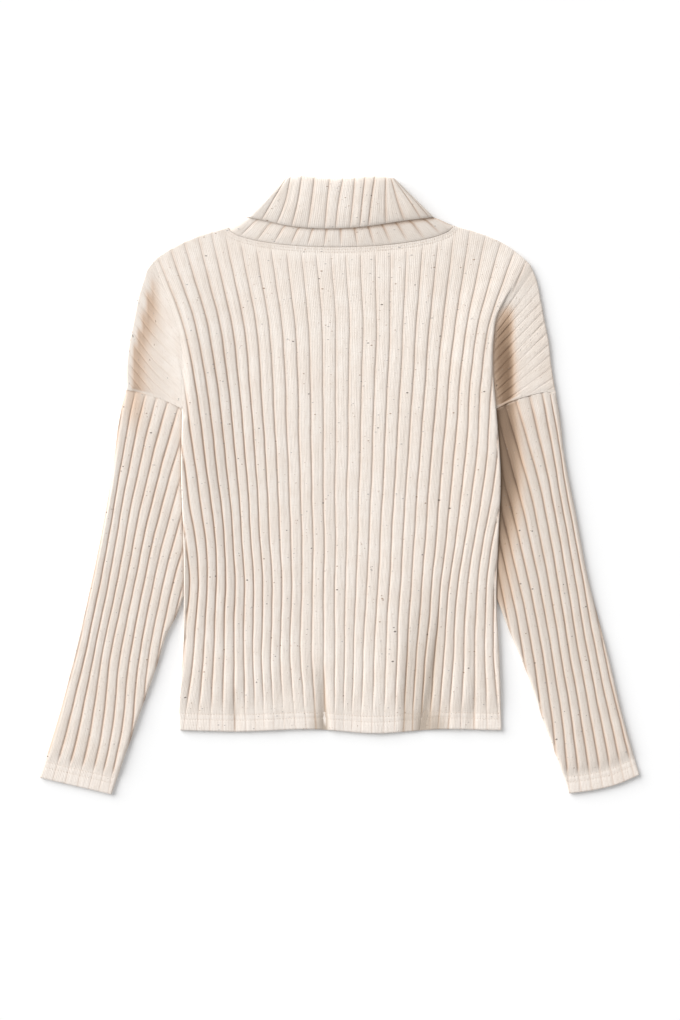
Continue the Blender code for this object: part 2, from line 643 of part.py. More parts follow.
def collar_ring(ring):
    """The ring's points, from the left end across the back and home across the front."""
    count = len(FLAP_GROOVES) + 1
    whole = np.arange(count + 1)
    ends = [count - share for share in END_STATIONS[::-1]]
    stations = np.concatenate([[0], END_STATIONS, np.arange(0.25, count, 0.25), ends, [count]])
    front = np.array(FRONT_STATIONS[::-1])
    if ring.part == "flap":
        fold = np.interp(stations, whole, [0, *(g.fold for g in FLAP_GROOVES), 1])
        edge = np.interp(stations, whole, [0, *(g.edge for g in FLAP_GROOVES), 1])
        back_line = between(on_line(FOLD_LINE, fold), on_line(FLAP_EDGE, edge), ring.drop)
        front_line = between(on_line(FOLD_LINE, front), on_line(FLAP_EDGE, front), ring.front_drop)
    else:
        even = np.interp(stations, whole, [0, *(FIRST_STAND_GROOVE + STAND_PITCH * np.arange(count - 1)), 1])
        back_line = between(on_line(FLAP_EDGE, even), neckline(NECK_DROP_BACK, even), ring.drop)
        front_line = between(on_line(FLAP_EDGE, front), neckline(NECK_DROP_FRONT, front), ring.front_drop)
    middle, half = (back_line[0, 0] + back_line[-1, 0]) / 2, (back_line[-1, 0] - back_line[0, 0]) / 2
    narrow = (half - ring.inset) / half
    centre = (ring.back_z + ring.front_z) / 2
    ribs = np.interp(stations % 1.0, *np.transpose(RIB_SHAPE)) * RIB * ring.rib
    levels = np.concatenate([ring.back_z + ribs, np.full(len(front), ring.front_z)])
    points = []
    for (x, y), level in zip(np.concatenate([back_line, front_line]), levels):
        x = middle + (x - middle) * narrow
        from_end = max(0.0, half * narrow - abs(x - middle)) / COLLAR_ROLL
        roll = math.sqrt(1 - max(0.0, 1 - from_end) ** 2)
        points.append((x, y, centre + (level - centre) * roll))
    return points


def collar_mesh():
    return loft([collar_ring(ring) for ring in COLLAR])


def main():
    for old in list(bpy.data.objects):
        bpy.data.objects.remove(old)
    add_piece("front_panel", front_mesh())
    add_piece("back_panel", Back().mesh())
    add_piece("collar", collar_mesh())
    add_sleeve("left", OUTER_LEFT, INNER_LEFT, CUFF_LEFT, SEAM_LEFT, GROOVES_LEFT)
    add_sleeve("right", OUTER_RIGHT, INNER_RIGHT, CUFF_RIGHT, SEAM_RIGHT, GROOVES_RIGHT)


main()
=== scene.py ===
"""The roll-neck jumper's knitted cloth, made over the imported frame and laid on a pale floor.

Every piece is a thin shell on its solid's form, worked out from the same named sizes and tables, with finer
ribs, rolled edges, creases and sewing. Sizes are in millimetres, and new_piece turns them into metres.
"""

import json
import math
from collections import namedtuple

import bpy
import numpy as np
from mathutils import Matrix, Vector
from mathutils.geometry import delaunay_2d_cdt, intersect_line_line_2d
from mathutils.kdtree import KDTree

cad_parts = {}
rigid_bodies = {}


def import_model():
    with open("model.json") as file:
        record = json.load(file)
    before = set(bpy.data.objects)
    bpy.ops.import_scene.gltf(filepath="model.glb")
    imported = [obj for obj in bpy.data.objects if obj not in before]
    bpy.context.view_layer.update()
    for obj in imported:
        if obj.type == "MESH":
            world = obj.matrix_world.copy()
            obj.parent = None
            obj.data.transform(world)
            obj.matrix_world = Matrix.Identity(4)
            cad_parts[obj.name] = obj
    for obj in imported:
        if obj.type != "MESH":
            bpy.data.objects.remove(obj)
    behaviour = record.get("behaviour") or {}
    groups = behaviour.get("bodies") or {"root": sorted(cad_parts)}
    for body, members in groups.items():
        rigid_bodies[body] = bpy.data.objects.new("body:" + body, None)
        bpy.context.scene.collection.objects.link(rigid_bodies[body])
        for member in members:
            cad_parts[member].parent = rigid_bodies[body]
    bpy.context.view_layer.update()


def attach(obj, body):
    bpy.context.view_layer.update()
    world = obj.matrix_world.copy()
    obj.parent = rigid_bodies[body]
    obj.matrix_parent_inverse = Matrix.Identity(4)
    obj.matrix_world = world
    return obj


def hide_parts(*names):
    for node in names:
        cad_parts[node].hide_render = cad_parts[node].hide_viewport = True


for old in list(bpy.data.objects):
    bpy.data.objects.remove(old)
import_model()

MM = 0.001


def columns(names, *rows):
    """A table's columns by their names."""
    return namedtuple("Columns", names)(*zip(*rows))


# ---------------------------------------------------------------- camera

FRAME_WIDTH, FRAME_HEIGHT = 680, 1020
PHOTO_MM = 1.10  # millimetres on the surface to a pixel of the frame
PHOTO_ORIGIN = (339.5, 485.4)  # the pixel over the origin
CAMERA_HEIGHT, SENSOR = 2.4, 24.0  # in metres, and in millimetres

scene = bpy.context.scene
camera_data = bpy.data.cameras.new("camera")
camera_data.sensor_fit = "VERTICAL"
camera_data.sensor_height = SENSOR
camera_data.lens = SENSOR * CAMERA_HEIGHT / (FRAME_HEIGHT * PHOTO_MM * MM)
camera = bpy.data.objects.new("camera", camera_data)
camera.location = ((FRAME_WIDTH / 2 - PHOTO_ORIGIN[0]) * PHOTO_MM * MM,
                   (PHOTO_ORIGIN[1] - FRAME_HEIGHT / 2) * PHOTO_MM * MM, CAMERA_HEIGHT)
scene.collection.objects.link(camera)
scene.camera = camera

# ---------------------------------------------------------------- sizes, as in the part's source

SEAM_GAP = 0.06  # between two sewn pieces, whose solids stand further apart
GROOVE_WALL = 1.7
RIB = 1.8
FRONT_TOP = 2.0
BACK_UNDER = 2.3
BACK_GROOVE = BACK_UNDER + GROOVE_WALL
SLEEVE_HOLLOW = (1.7, 2.3)
SLEEVE_GROOVE = SLEEVE_HOLLOW[1] + GROOVE_WALL

NECK_LEFT, NECK_RIGHT = (-122.0, 283.5), (125.0, 285.5)
NECK_DROP_BACK, NECK_DROP_FRONT = 23.0, 80.0

SIDES = columns(
    "y left right",
    (-269, -175.5, 178.0), (-250, -176.5, 177.5), (-186, -172.0, 175.5), (-124, -171.0, 172.5),
    (-60, -171.5, 174.5), (10, -174.0, 177.0), (84, -173.0, 172.0), (110, -173.0, 169.5), (136, -173.0, 168.0),
    (160, -175.0, 169.0), (188, -183.0, 173.5), (201, -187.5, 180.0), (242, -203.0, 205.0),
    (266, -212.0, 220.0),
)
UNDERARM_Y = 84.0

RISES = columns(
    "y rise",
    (-192, 0.0), (-124, 0.8), (-60, 2.0), (28, 3.0), (94, 3.2), (182, 3.0), (226, 1.6), (262, 0.0),
)
RISE_START, RISE_WIDTH = 8.0, 60.0

HEM = ((-175.5, -269), (-113, -270.5), (-27, -268), (39, -272.5), (108.5, -268), (178, -269))
SEAM_RIGHT = ((172, 84), (191, 93), (208.5, 98.5), (224, 102), (237.5, 101.5))
CAP_RIGHT = ((237.5, 101.5), (232.5, 133.5), (230, 157.5), (225, 182), (221.5, 201.5), (216, 227),
             (209.5, 242.5))
SHOULDER_RIGHT = ((209.5, 242.5), (197.5, 253.5), (182, 264.5), (158, 275.5), NECK_RIGHT)
SHOULDER_LEFT = (NECK_LEFT, (-153.5, 274.5), (-179, 263.5), (-203, 248), (-212, 237))
CAP_LEFT = ((-212, 237), (-215.5, 226), (-220.5, 209.5), (-226, 182), (-230.5, 160), (-233.5, 138),
            (-234, 105))
SEAM_LEFT = ((-234, 105), (-208.5, 98.5), (-192, 93), (-173, 84))
FOLD_END_LEFT, FOLD_END_RIGHT = (-205.5, 246.5), (199.0, 252.0)

OUTER_LEFT = ((-329.5, -321), (-307.5, -250.5), (-291, -183.5), (-277, -125), (-257, -30.5), (-248, 23.5),
              (-241.5, 77.5), (-234, 105))
INNER_LEFT = ((-171, -121.5), (-177.5, -139.5), (-190, -164.5), (-199.5, -194.5), (-222, -258),
              (-250.5, -339.5))
CUFF_LEFT = ((-250.5, -339.5), (-289, -330.5), (-329.5, -321))
OUTER_RIGHT = ((329.5, -318), (311, -252.5), (295.5, -187.5), (273.5, -103.5), (260, -32.5),
               (246.5, 38), (241.5, 80), (237.5, 101.5))
INNER_RIGHT = ((172.5, -124), (185.5, -157), (205, -204), (224, -259), (237, -294.5), (252.5, -338.5))
CUFF_RIGHT = ((252.5, -338.5), (278, -335), (305, -328.5), (329.5, -318))

BACK_MARKED = (-15, -12, -9, -6, -3, 0, 3, 6, 9, 12, 15, 18)
BACK_GROOVES = columns(
    "at marks",
    (-225, (-178, -140, -104, -74, -40, -5, 25, 62, 92, 122.5, 161, 193)),
    (-192, (-172, -138, -105, -75.5, -42.5, -5, 26, 63.5, 94, 125, 160, 187.5)),
    (-148, (-168, -137, -105, -74, -42.5, -5, 28, 64.5, 98.5, 127, 160, 184.5)),
    (-104, (-164.5, -135, -104, -74, -41, -5, 30.5, 67.5, 102, 130.5, 162, 185.5)),
    (-60, (-169, -136, -107.5, -76.5, -41, -4, 32.5, 70, 106, 138, 168, 197.5)),
    (-16, (-177.5, -141.5, -109.5, -78.5, -42.5, -5, 34.5, 72, 109.5, 144.5, 177.5, 210.5)),
    (28, (-183, -147, -114, -81, -43.5, -4, 36, 75.5, 113, 150, 183, 216)),
    (61, (-190, -151, -117, -83, -44.5, -4, 37, 77.5, 116, 152.5, 185.5, 218.5)),
    (116, (-195.5, -159, -122.5, -86.5, -45.5, -4, 39, 81, 120.5, 155.5, 190.5, 225)),
    (182, (-214.5, -173, -132.5, -92, -49, -4, 41, 85, 128, 165.5, 202, 238)),
    (226, (-237.5, -190, -143.5, -100.5, -54.5, -7, 40, 88.5, 135, 181, 227, 273.5)),
)
SLEEVE_MARKED = (0, 2, 4, 6, 8, 10)
GROOVES_LEFT = columns(
    "at marks",
    (-335, (-333, -303.5, -275.5, -253.5, -233, -212.5)), (-280, (-315.5, -289, -262.5, -241, -219.5, -198.5)),
    (-192, (-290.5, -271, -252, -230.5, -210, -190)), (-104, (-271, -253, -234, -214, -192.5, -170.5)),
    (-16, (-254.5, -237.5, -216.5, -193.5, -169, -143.5)), (72, (-241, -220, -194.5, -167, -139.5, -111.5)),
    (110, (-234, -210.5, -183, -154.5, -126, -97.5)),
)
GROOVES_RIGHT = columns(
    "at marks",
    (-335, (327, 301.5, 277, 252, 227.5, 203.5)), (-280, (313.5, 291.5, 269, 247, 224.5, 203)),
    (-192, (292.5, 274, 254, 234.5, 213.5, 191.5)), (-104, (275.5, 259, 239.5, 218.5, 196.5, 176)),
    (-16, (258, 243.5, 223.5, 199, 174.5, 150)), (72, (243.5, 228, 200, 174.5, 148.5, 123)),
    (110, (236.5, 221, 189, 162.5, 136.5, 110.5)),
)
CAP_MARKED = tuple(1.5 * i for i in range(9))  # the cloth's ribs are finer here than its solid's
GROOVES_CAP_LEFT = columns(
    "at marks",
    (-230.5, (109.5, 128, 144.5, 166.5, 186.5, 208.5, 237, 265.5, 290)),
    (-205, (78, 95.5, 114, 132.5, 152, 173, 197.5, 221, 245)),
    (-175.5, (52, 68.5, 89.5, 104, 123.5, 142.5, 163, 181, 204)),
)
GROOVES_CAP_RIGHT = columns(
    "at marks",
    (173, (66.5, 81, 95, 109.5, 125, 144.5, 161, 173, 192)),
    (231.5, (106, 122, 143, 163, 186, 205, 226, 254.5, 285.5)),
)

FOLD_LINE = ((-59, 338), (-44.5, 339.5), (-17, 337), (11.5, 337.5), (39, 339), (60.5, 337))
FLAP_EDGE = ((-101, 295), (-81, 291), (-55.5, 285.5), (-30.5, 283), (20.5, 284), (71, 291), (103, 295))
FLAP_GROOVES = columns(
    "fold edge",
    (0.01, 0.08), (0.045, 0.16), (0.15, 0.24), (0.265, 0.325), (0.405, 0.418), (0.53, 0.475), (0.635, 0.552),
    (0.73, 0.605), (0.82, 0.65), (0.92, 0.744), (0.965, 0.842), (0.985, 0.93), (0.995, 0.975),
)
FIRST_STAND_GROOVE, STAND_PITCH = 0.053, 0.0745
COLLAR_ROLL = 5.0

# ---------------------------------------------------------------- finer sizes, only here

PHASES = (0.0, 0.035, 0.08, 0.14, 0.22, 0.29, 0.36, 0.43, 0.55, 0.67, 0.78, 0.86, 0.92, 0.965)
ALONG = 5.0  # between points along a rib, and PHASES places its lines
FINE_EDGE, LONG_EDGE = 1.3, 3.0  # between points on edges that cross the ribs, and on those that don't
ROLL_DEPTHS = (0.0, 0.06, 0.2, 0.45, 0.75, 1.0)  # of the rolled edge's loops, as shares of its radius
EDGE_ROLL = 1.7  # radius of a cut and turned edge
FOLD_ROLL = 3.0  # radius of a sleeve's folded side
FRONT_RIM = 1.0  # height of the front's rim
CREST_AT = 0.33  # a rounded rib's highest line, as a share of its width from the left
FURROW_WIDTH, FURROW_SHARE = 0.055, 0.32  # the narrow furrow between ribs, as shares of their width and height
RIB_WIDTH = 10.8  # of a usual rib, which gives what is knitted into the cloth its proportions
WALES = 4  # columns of stitches to a rib
COURSE = 1.65  # height of a row of stitches
CUFF_SHARE, CUFF_FLAT, CUFF_FADE = 0.12, 19.0, 12.0
STITCH_ROWS = (12.5, 18.5)  # the sewn rows' distances from the edge of the hem and the cuffs
NECK_ROWS = (2.4, 5.4)  # and from the neck seam
STITCH, STITCH_GAP, THREAD = 2.3, 0.8, 0.36  # a stitch's length, the gap to the next, and its thread's width
ROW_DEPTH, ROW_WIDTH = 0.18, 0.9  # of the trough that a row draws into the cloth
RIB_MARGIN, MIDDLE_MARGIN, NECK_MARGIN = 2.6, 3.4, 1.9  # from an outline in to the mesh's inner lines
SAME_PLACE = 2e-3  # points closer than this are one

# The ribs' share of their full height over the back
BACK_DEPTHS = columns(
    "y left middle right",
    (-269, 0.10, 0.07, 0.14), (-250, 0.16, 0.12, 0.22), (-234, 0.80, 0.55, 0.85), (-180, 0.98, 0.70, 0.95),
    (-60, 1.00, 0.64, 0.88), (60, 0.98, 0.60, 0.85), (160, 0.78, 0.48, 0.72), (226, 0.55, 0.36, 0.55),
    (262, 0.32, 0.26, 0.34), (285, 0.22, 0.22, 0.22),
)
# What of the back's ribs is flat or stepped, not rounded
SECTIONS = columns(
    "y flat stepped",
    (-230, 0.25, 0.0), (-120, 0.5, 0.0), (0, 0.9, 0.0), (60, 0.75, 0.2), (140, 0.4, 0.6),
)
DEPTH_ACROSS = 115.0  # from the middle out to the left and right columns

# ---------------------------------------------------------------- curves in plan


def smooth(knots, values, at):
    """A smooth curve through the values at the knots, carried on straight past its two ends."""
    knots, values = np.asarray(knots, float), np.asarray(values, float)
    at = np.atleast_1d(np.asarray(at, float))
    slope = np.gradient(values, knots)
    i = np.clip(np.searchsorted(knots, at) - 1, 0, len(knots) - 2)
    width = knots[i + 1] - knots[i]
    t = np.clip((at - knots[i]) / width, 0, 1)
    inside = ((2 * t - 3) * t * t + 1) * values[i] + (3 - 2 * t) * t * t * values[i + 1]
    inside += ((t - 2) * t + 1) * t * width * slope[i] + (t - 1) * t * t * width * slope[i + 1]
    past = np.minimum(at - knots[0], 0) * slope[0] + np.maximum(at - knots[-1], 0) * slope[-1]
    return inside + past


def run_of(line):
    """How far along the line each of its points is."""
    return np.concatenate([[0], np.cumsum(np.hypot(*np.diff(line, axis=0).T))])


def through(points, step=FINE_EDGE):
    """A smooth line through the points."""
    points = np.asarray(points, float)
    run = run_of(points)
    at = np.linspace(0, run[-1], max(2, round(run[-1] / step) + 1))
    return np.stack([smooth(run, points[:, 0], at), smooth(run, points[:, 1], at)], axis=-1)


def chain(*curves):
    return np.concatenate([curve[:-1] for curve in curves])


def side_x(which, y):
    return smooth(SIDES.y, getattr(SIDES, which), y)


def side_curve(which, low, high, shift=0.0):
    y = np.linspace(low, high, max(2, round(abs(high - low) / LONG_EDGE) + 1))
    return np.stack([side_x(which, y) + shift, y], axis=-1)


def neckline(drop, share, grow=0.0):
    """The point at that share of the way from the left neck point to the right one."""
    along = 2 * np.asarray(share, float) - 1
    middle = (NECK_LEFT[0] + NECK_RIGHT[0]) / 2
    half = (NECK_RIGHT[0] - NECK_LEFT[0]) / 2 + grow
    level = NECK_LEFT[1] + (NECK_RIGHT[1] - NECK_LEFT[1]) * (along + 1) / 2
    return np.stack([middle + half * along, level - (drop + grow) * np.sqrt(1 - along**2)], axis=-1)


def neck_curve(drop):
    turn = np.linspace(0, math.pi, 210)
    return neckline(drop, (1 + np.cos(turn)) / 2, SEAM_GAP)


def body_outline(drop):
    neck = neck_curve(drop)
    right = through((*SHOULDER_RIGHT[:-1], tuple(neck[0])))
    left = through((tuple(neck[-1]), *SHOULDER_LEFT[1:]))
    up = through(HEM), side_curve("right", HEM[-1][1], UNDERARM_Y), through(SEAM_RIGHT), through(CAP_RIGHT)
    down = through(CAP_LEFT), through(SEAM_LEFT), side_curve("left", UNDERARM_Y, HEM[0][1])
    return chain(*up, right, neck, left, *down)


def middle_outline():
    """The back without its caps: its sides run on up the folds to the shoulders."""
    neck = neck_curve(NECK_DROP_BACK)
    right = through((FOLD_END_RIGHT, *SHOULDER_RIGHT[2:-1], tuple(neck[0])), LONG_EDGE)
    left = through((tuple(neck[-1]), *SHOULDER_LEFT[1:3], FOLD_END_LEFT), LONG_EDGE)
    up = through(HEM, LONG_EDGE), side_curve("right", HEM[-1][1], FOLD_END_RIGHT[1])
    return chain(*up, right, neck, left, side_curve("left", FOLD_END_LEFT[1], HEM[0][1]))


def cap_outline(which, seam, cap):
    fold = side_curve(which, UNDERARM_Y, cap[-1][1] if which == "right" else cap[0][1])
    if which == "right":
        return chain(through(seam, LONG_EDGE), through(cap, LONG_EDGE), fold[::-1])
    return chain(through(cap, LONG_EDGE), through(seam, LONG_EDGE), fold)


def inward_normals(loop):
    """For each point of an anticlockwise loop, the unit vector to its inside."""
    along = np.roll(loop, -1, axis=0) - np.roll(loop, 1, axis=0)
    along /= np.maximum(np.hypot(*along.T), 1e-9)[:, None]
    return np.stack([-along[:, 1], along[:, 0]], axis=-1)


def tree_of(points):
    tree = KDTree(len(points))
    for i, p in enumerate(points):
        tree.insert((p[0], p[1], 0.0), i)
    tree.balance()
    return tree


def nearest(points, line):
    tree = tree_of(line)
    return np.array([tree.find((x, y, 0.0))[1] for x, y in points], int)


def segment_distance(points, a, b):
    run = b - a
    to = points - a
    t = np.clip((to * run).sum(-1) / np.maximum((run**2).sum(-1), 1e-12), 0, 1)
    away = to - run * t[:, None]
    return np.hypot(*away.T), run[:, 0] * to[:, 1] - run[:, 1] * to[:, 0], (t > 0) & (t < 1)


def signed(points, loop):
    """How far each point is inside the anticlockwise loop, and less than 0 outside it."""
    i = nearest(points, loop)
    before, after = loop[i - 1], loop[(i + 1) % len(loop)]
    d1, s1, in1 = segment_distance(points, before, loop[i])
    d2, s2, in2 = segment_distance(points, loop[i], after)
    corner = ((points - loop[i]) * inward_normals(loop)[i]).sum(-1)
    first = d1 < d2
    side = np.where(first, np.where(in1, s1, corner), np.where(in2, s2, corner))
    return np.where(side >= 0, 1, -1) * np.minimum(d1, d2)


def distance(points, line):
    """How far each point is from an open line."""
    i = nearest(points, line)
    low, high = np.maximum(i - 1, 0), np.minimum(i + 1, len(line) - 1)
    before, after = (segment_distance(points, *ends)[0] for ends in ((line[low], line[i]), (line[i], line[high])))
    return np.minimum(before, after)


def ease(t):
    t = np.clip(t, 0, 1)
    return t * t * (3 - 2 * t)


def quarter(t):
    """A quarter circle: 0 at 0, standing straight up there, to 1 at 1."""
    return np.sqrt(1 - (1 - np.clip(t, 0, 1)) ** 2)


def wander(x, seed):
    """A slow wave between about -1 and 1 that never repeats."""
    x = np.asarray(x, float)
    return (np.sin(x + 1.7 * seed) + np.sin(2.23 * x + 3.1 * seed) * 0.6 + np.sin(0.61 * x + 5.3 * seed)) / 2.3


# ---------------------------------------------------------------- ribs


def stretches(line, area, margin):
    """The first and the last point's number of each part of a line that is further inside the area's outline
    than the margin."""
    keep = signed(line, area) > margin
    ends = np.flatnonzero(np.diff(np.concatenate([[0], keep.astype(int), [0]])))
    return list(zip(ends[::2], ends[1::2] - 1))


class Ribs:
    """The course of a piece's grooves. Along is the way they run, x or y, and across is the other."""

    STEP, SHARE = 5.0, 0.25
    PAST = 75.0
    WOBBLE = 0.35  # how far a rib strays from its course
    FINE = 1.25

    def __init__(self, levels, marked, along="y"):
        self.along = along
        at = levels.at
        self.levels = np.arange(min(at) - self.PAST, max(at) + self.PAST, self.STEP)
        self.numbers = np.arange(marked[0] - 1, marked[-1] + 1 + self.SHARE / 2, self.SHARE)
        marks = np.array(levels.marks, float)
        columns = [smooth(at, marks[:, i], self.levels) for i in range(len(marked))]
        self.places = np.array([smooth(marked, row, self.numbers) for row in np.transpose(columns)])

    def rows(self, level):
        i = np.clip((level - self.levels[0]) / self.STEP, 0, len(self.levels) - 1.001)
        low = i.astype(int)
        even = self.places[low] + (i - low)[:, None] * (self.places[low + 1] - self.places[low])
        return even + self.WOBBLE * wander(level[:, None] / 12.0 + self.numbers * 1.1, 2)

    def number(self, points):
        """The groove number at each point: whole at a groove, a half on the crest between two."""
        level, place = (points[:, 1], points[:, 0]) if self.along == "y" else (points[:, 0], points[:, 1])
        rows, numbers = self.rows(level), self.numbers
        if rows[0, 0] > rows[0, -1]:
            rows, numbers = rows[:, ::-1], numbers[::-1]
        k = np.clip((rows < place[:, None]).sum(axis=1) - 1, 0, len(numbers) - 2)
        each = np.arange(len(k))
        a, b = rows[each, k], rows[each, k + 1]
        t = np.clip((place - a) / (b - a), 0, 1)
        return numbers[k] + t * (numbers[k + 1] - numbers[k])

    def lines(self, area, margin):
        """Lines along every rib at each phase, cut off at the margin inside the area's outline."""
        way = 1 if self.along == "y" else 0
        fine = np.arange(math.floor(area[:, way].min() / ALONG) * ALONG, area[:, way].max(), self.FINE)
        rows = self.rows(fine)
        wholes = range(math.ceil(self.numbers[0]), int(self.numbers[-1]))
        wanted = [whole + phase for whole in wholes for phase in PHASES]
        at = (np.array(wanted) - self.numbers[0]) / self.SHARE
        low = np.clip(at.astype(int), 0, len(self.numbers) - 2)
        place = rows[:, low] + (at - low) * (rows[:, low + 1] - rows[:, low])
        low_edge, high_edge = area[:, 1 - way].min(), area[:, 1 - way].max()
        every = round(ALONG / self.FINE)
        found = []
        for column in place.T:
            if column.max() < low_edge or column.min() > high_edge:
                continue
            line = np.stack([column, fine] if self.along == "y" else [fine, column], axis=-1)
            for a, b in stretches(line, area, margin):
                if b - a >= 2:
                    inner = [i for i in range(a + 1, b) if i % every == 0 and i - a > 1 and b - i > 1]
                    found.append(line[[a, *inner, b]])
        return found


def crest(number, flat=0.0, stepped=0.0, flip=False):
    """A rib's section: 0 at a groove, about 1 on its crest. It is rounded with its crest nearer the left, or
    as far as flat and stepped say, flat, or flat with a small step up near the middle."""
    t = number % 1.0
    if flip:
        t = 1 - t
    furrow = np.exp(-((np.minimum(t, 1 - t) / FURROW_WIDTH) ** 2))
    left, right = np.maximum(CREST_AT - t, 0) / CREST_AT, np.maximum(t - CREST_AT, 0) / (1 - CREST_AT)
    rounded = (1 - FURROW_SHARE) * (1 - left**3.0 - right**2.2) + FURROW_SHARE * (1 - furrow)
    even = (0.5 * (1 - np.abs(2 * t - 1) ** 7) + 0.5 * (1 - furrow)) * (1 - 0.10 * t)
    step = (0.66 + 0.34 * ease((t - 0.29) / 0.15) - 0.16 * ease((t - 0.5) / 0.5)) * (1 - furrow)
    return rounded * (1 - flat - stepped) + even * flat + step * stepped


def furrow_of(number, width=0.085, lean=0.0):
    """1 in the groove between two ribs, or lean beside it, and soon 0 on both sides."""
    t = (number - lean) % 1.0
    return np.exp(-((np.minimum(t, 1 - t) / width) ** 2))


def bump(t, at, width):
    return np.exp(-(((t - at) / width) ** 2))


def row_troughs(away, rows=STITCH_ROWS):
    """How far sewn rows draw the cloth in, at a distance from the edge that they follow."""
    return sum(ROW_DEPTH * bump(away, row, ROW_WIDTH) for row in rows)


def beside(line, away):
    """The open line moved to its left by a distance."""
    along = np.gradient(line, axis=0)
    along /= np.hypot(*along.T)[:, None]
    return line + away * np.stack([-along[:, 1], along[:, 0]], axis=-1)


def clipped(line, area, margin):
    """The parts of a line that are further inside the area's outline than the margin."""
    return [line[a:b + 1] for a, b in stretches(line, area, margin) if b - a > 1]


def row_lines(edge, area, rows, margin=2.2):
    """Lines for the mesh along sewn rows, which lie on the left of the edge."""
    steps = (-1.7, -0.8, 0.0, 0.8, 1.7)
    return [part for row in rows for step in steps for part in clipped(beside(edge, row + step), area, margin)]


# ---------------------------------------------------------------- shells


def triangulate(loops, lines):
    """A flat sheet inside the first loop, with edges along every loop and line."""
    points, edges = [], []
    for line, closed in (*((loop, True) for loop in loops), *((line, False) for line in lines)):
        start, count = len(points), len(line)
        points += [tuple(p) for p in line]
        edges += [(start + i, start + (i + 1) % count) for i in range(count if closed else count - 1)]
    made, _, faces, *_ = delaunay_2d_cdt(points, edges, [], 1, 1e-4)
    made, faces = np.array([tuple(p) for p in made]), np.array(faces)
    a, b, c = (made[faces[:, i]] for i in range(3))
    turn = (b[:, 0] - a[:, 0]) * (c[:, 1] - a[:, 1]) - (b[:, 1] - a[:, 1]) * (c[:, 0] - a[:, 0])
    faces[turn < 0] = faces[turn < 0][:, ::-1]
    return made, faces[np.abs(turn) > 1e-7]


def rim_of(faces):
    """The vertices round the open edge of a sheet of faces, in order."""
    have = {(a, b) for ends in ([0, 1], [1, 2], [2, 0]) for a, b in faces[:, ends].tolist()}
    after = {a: b for a, b in have if (b, a) not in have}
    loop = [min(after)]
    while after[loop[-1]] != loop[0]:
        loop.append(after[loop[-1]])
    if len(loop) != len(after):
        raise ValueError(f"the sheet's edge is in more than one loop: {len(loop)} of {len(after)} points")
    return np.array(loop)


def uncrossed(loop, reach=24):
    """The loop, with each small corner where it crosses itself cut off straight."""
    loop, count = loop.copy(), len(loop)
    for i in range(count):
        for gap in range(reach, 1, -1):
            c, d = (i + gap) % count, (i + gap + 1) % count
            if intersect_line_line_2d(loop[i, :2], loop[(i + 1) % count, :2], loop[c, :2], loop[d, :2]):
                for k in range(1, gap + 1):
                    loop[(i + k) % count] = loop[i] + (loop[d] - loop[i]) * k / (gap + 1)
                break
    return loop


# What is known of each point: which rib it is on, how far along, and how much painted shade it takes: in a groove,
# the warm shade of a fold, and the dull shade of a crease, which gives a paler tone where it is less than 0
LABELS = ("rib", "along", "groove", "shade", "dull")


def spread(known, points, source):
    """What is known of the points that source names, and plain values for the points after them, or for all
    where nothing is known."""
    rest = points[len(source) if known else 0:]
    plain = {"rib": rest[:, 0] / RIB_WIDTH, "along": rest[:, 1]}
    return {label: np.concatenate([known[label][source] if known else [], plain.get(label, np.zeros(len(rest)))])
            for label in LABELS}


def new_piece(name, points, faces, known, material):
    """A smooth mesh object in metres. What is known of each point is what the knit's material reads."""
    data = bpy.data.meshes.new(name)
    data.from_pydata((np.asarray(points) * MM).tolist(), [], [list(f) for f in faces])
    for label, values in known.items():
        layer = data.attributes.new(label, "FLOAT", "POINT")
        layer.data.foreach_set("value", np.asarray(values, np.float32))
    data.materials.append(material)
    data.shade_smooth()
    data.update()
    piece = bpy.data.objects.new(name, data)
    scene.collection.objects.link(piece)
    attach(piece, "root")
    return piece


def strip(near, far):
    """Quads between two rows of points."""
    return np.stack([near[:-1], far[:-1], far[1:], near[1:]], axis=-1)


def halved(quads):
    """Two triangles for each quad."""
    return np.concatenate([quads[:, [0, 1, 2]], quads[:, [0, 2, 3]]])


def rolled_to(bottom):
    """Rings for a shell whose edge rolls in from its rim to the bottom's height."""

    def rings(rim, inward):
        for depth in ROLL_DEPTHS[1:]:
            z = rim[:, 2] - (rim[:, 2] - bottom) * quarter(depth)
            yield np.column_stack([rim[:, :2] + EDGE_ROLL * depth * inward, z])

    return rings


def on_floor(points):
    """The heights of an under face that lies flat."""
    return np.zeros(len(points))


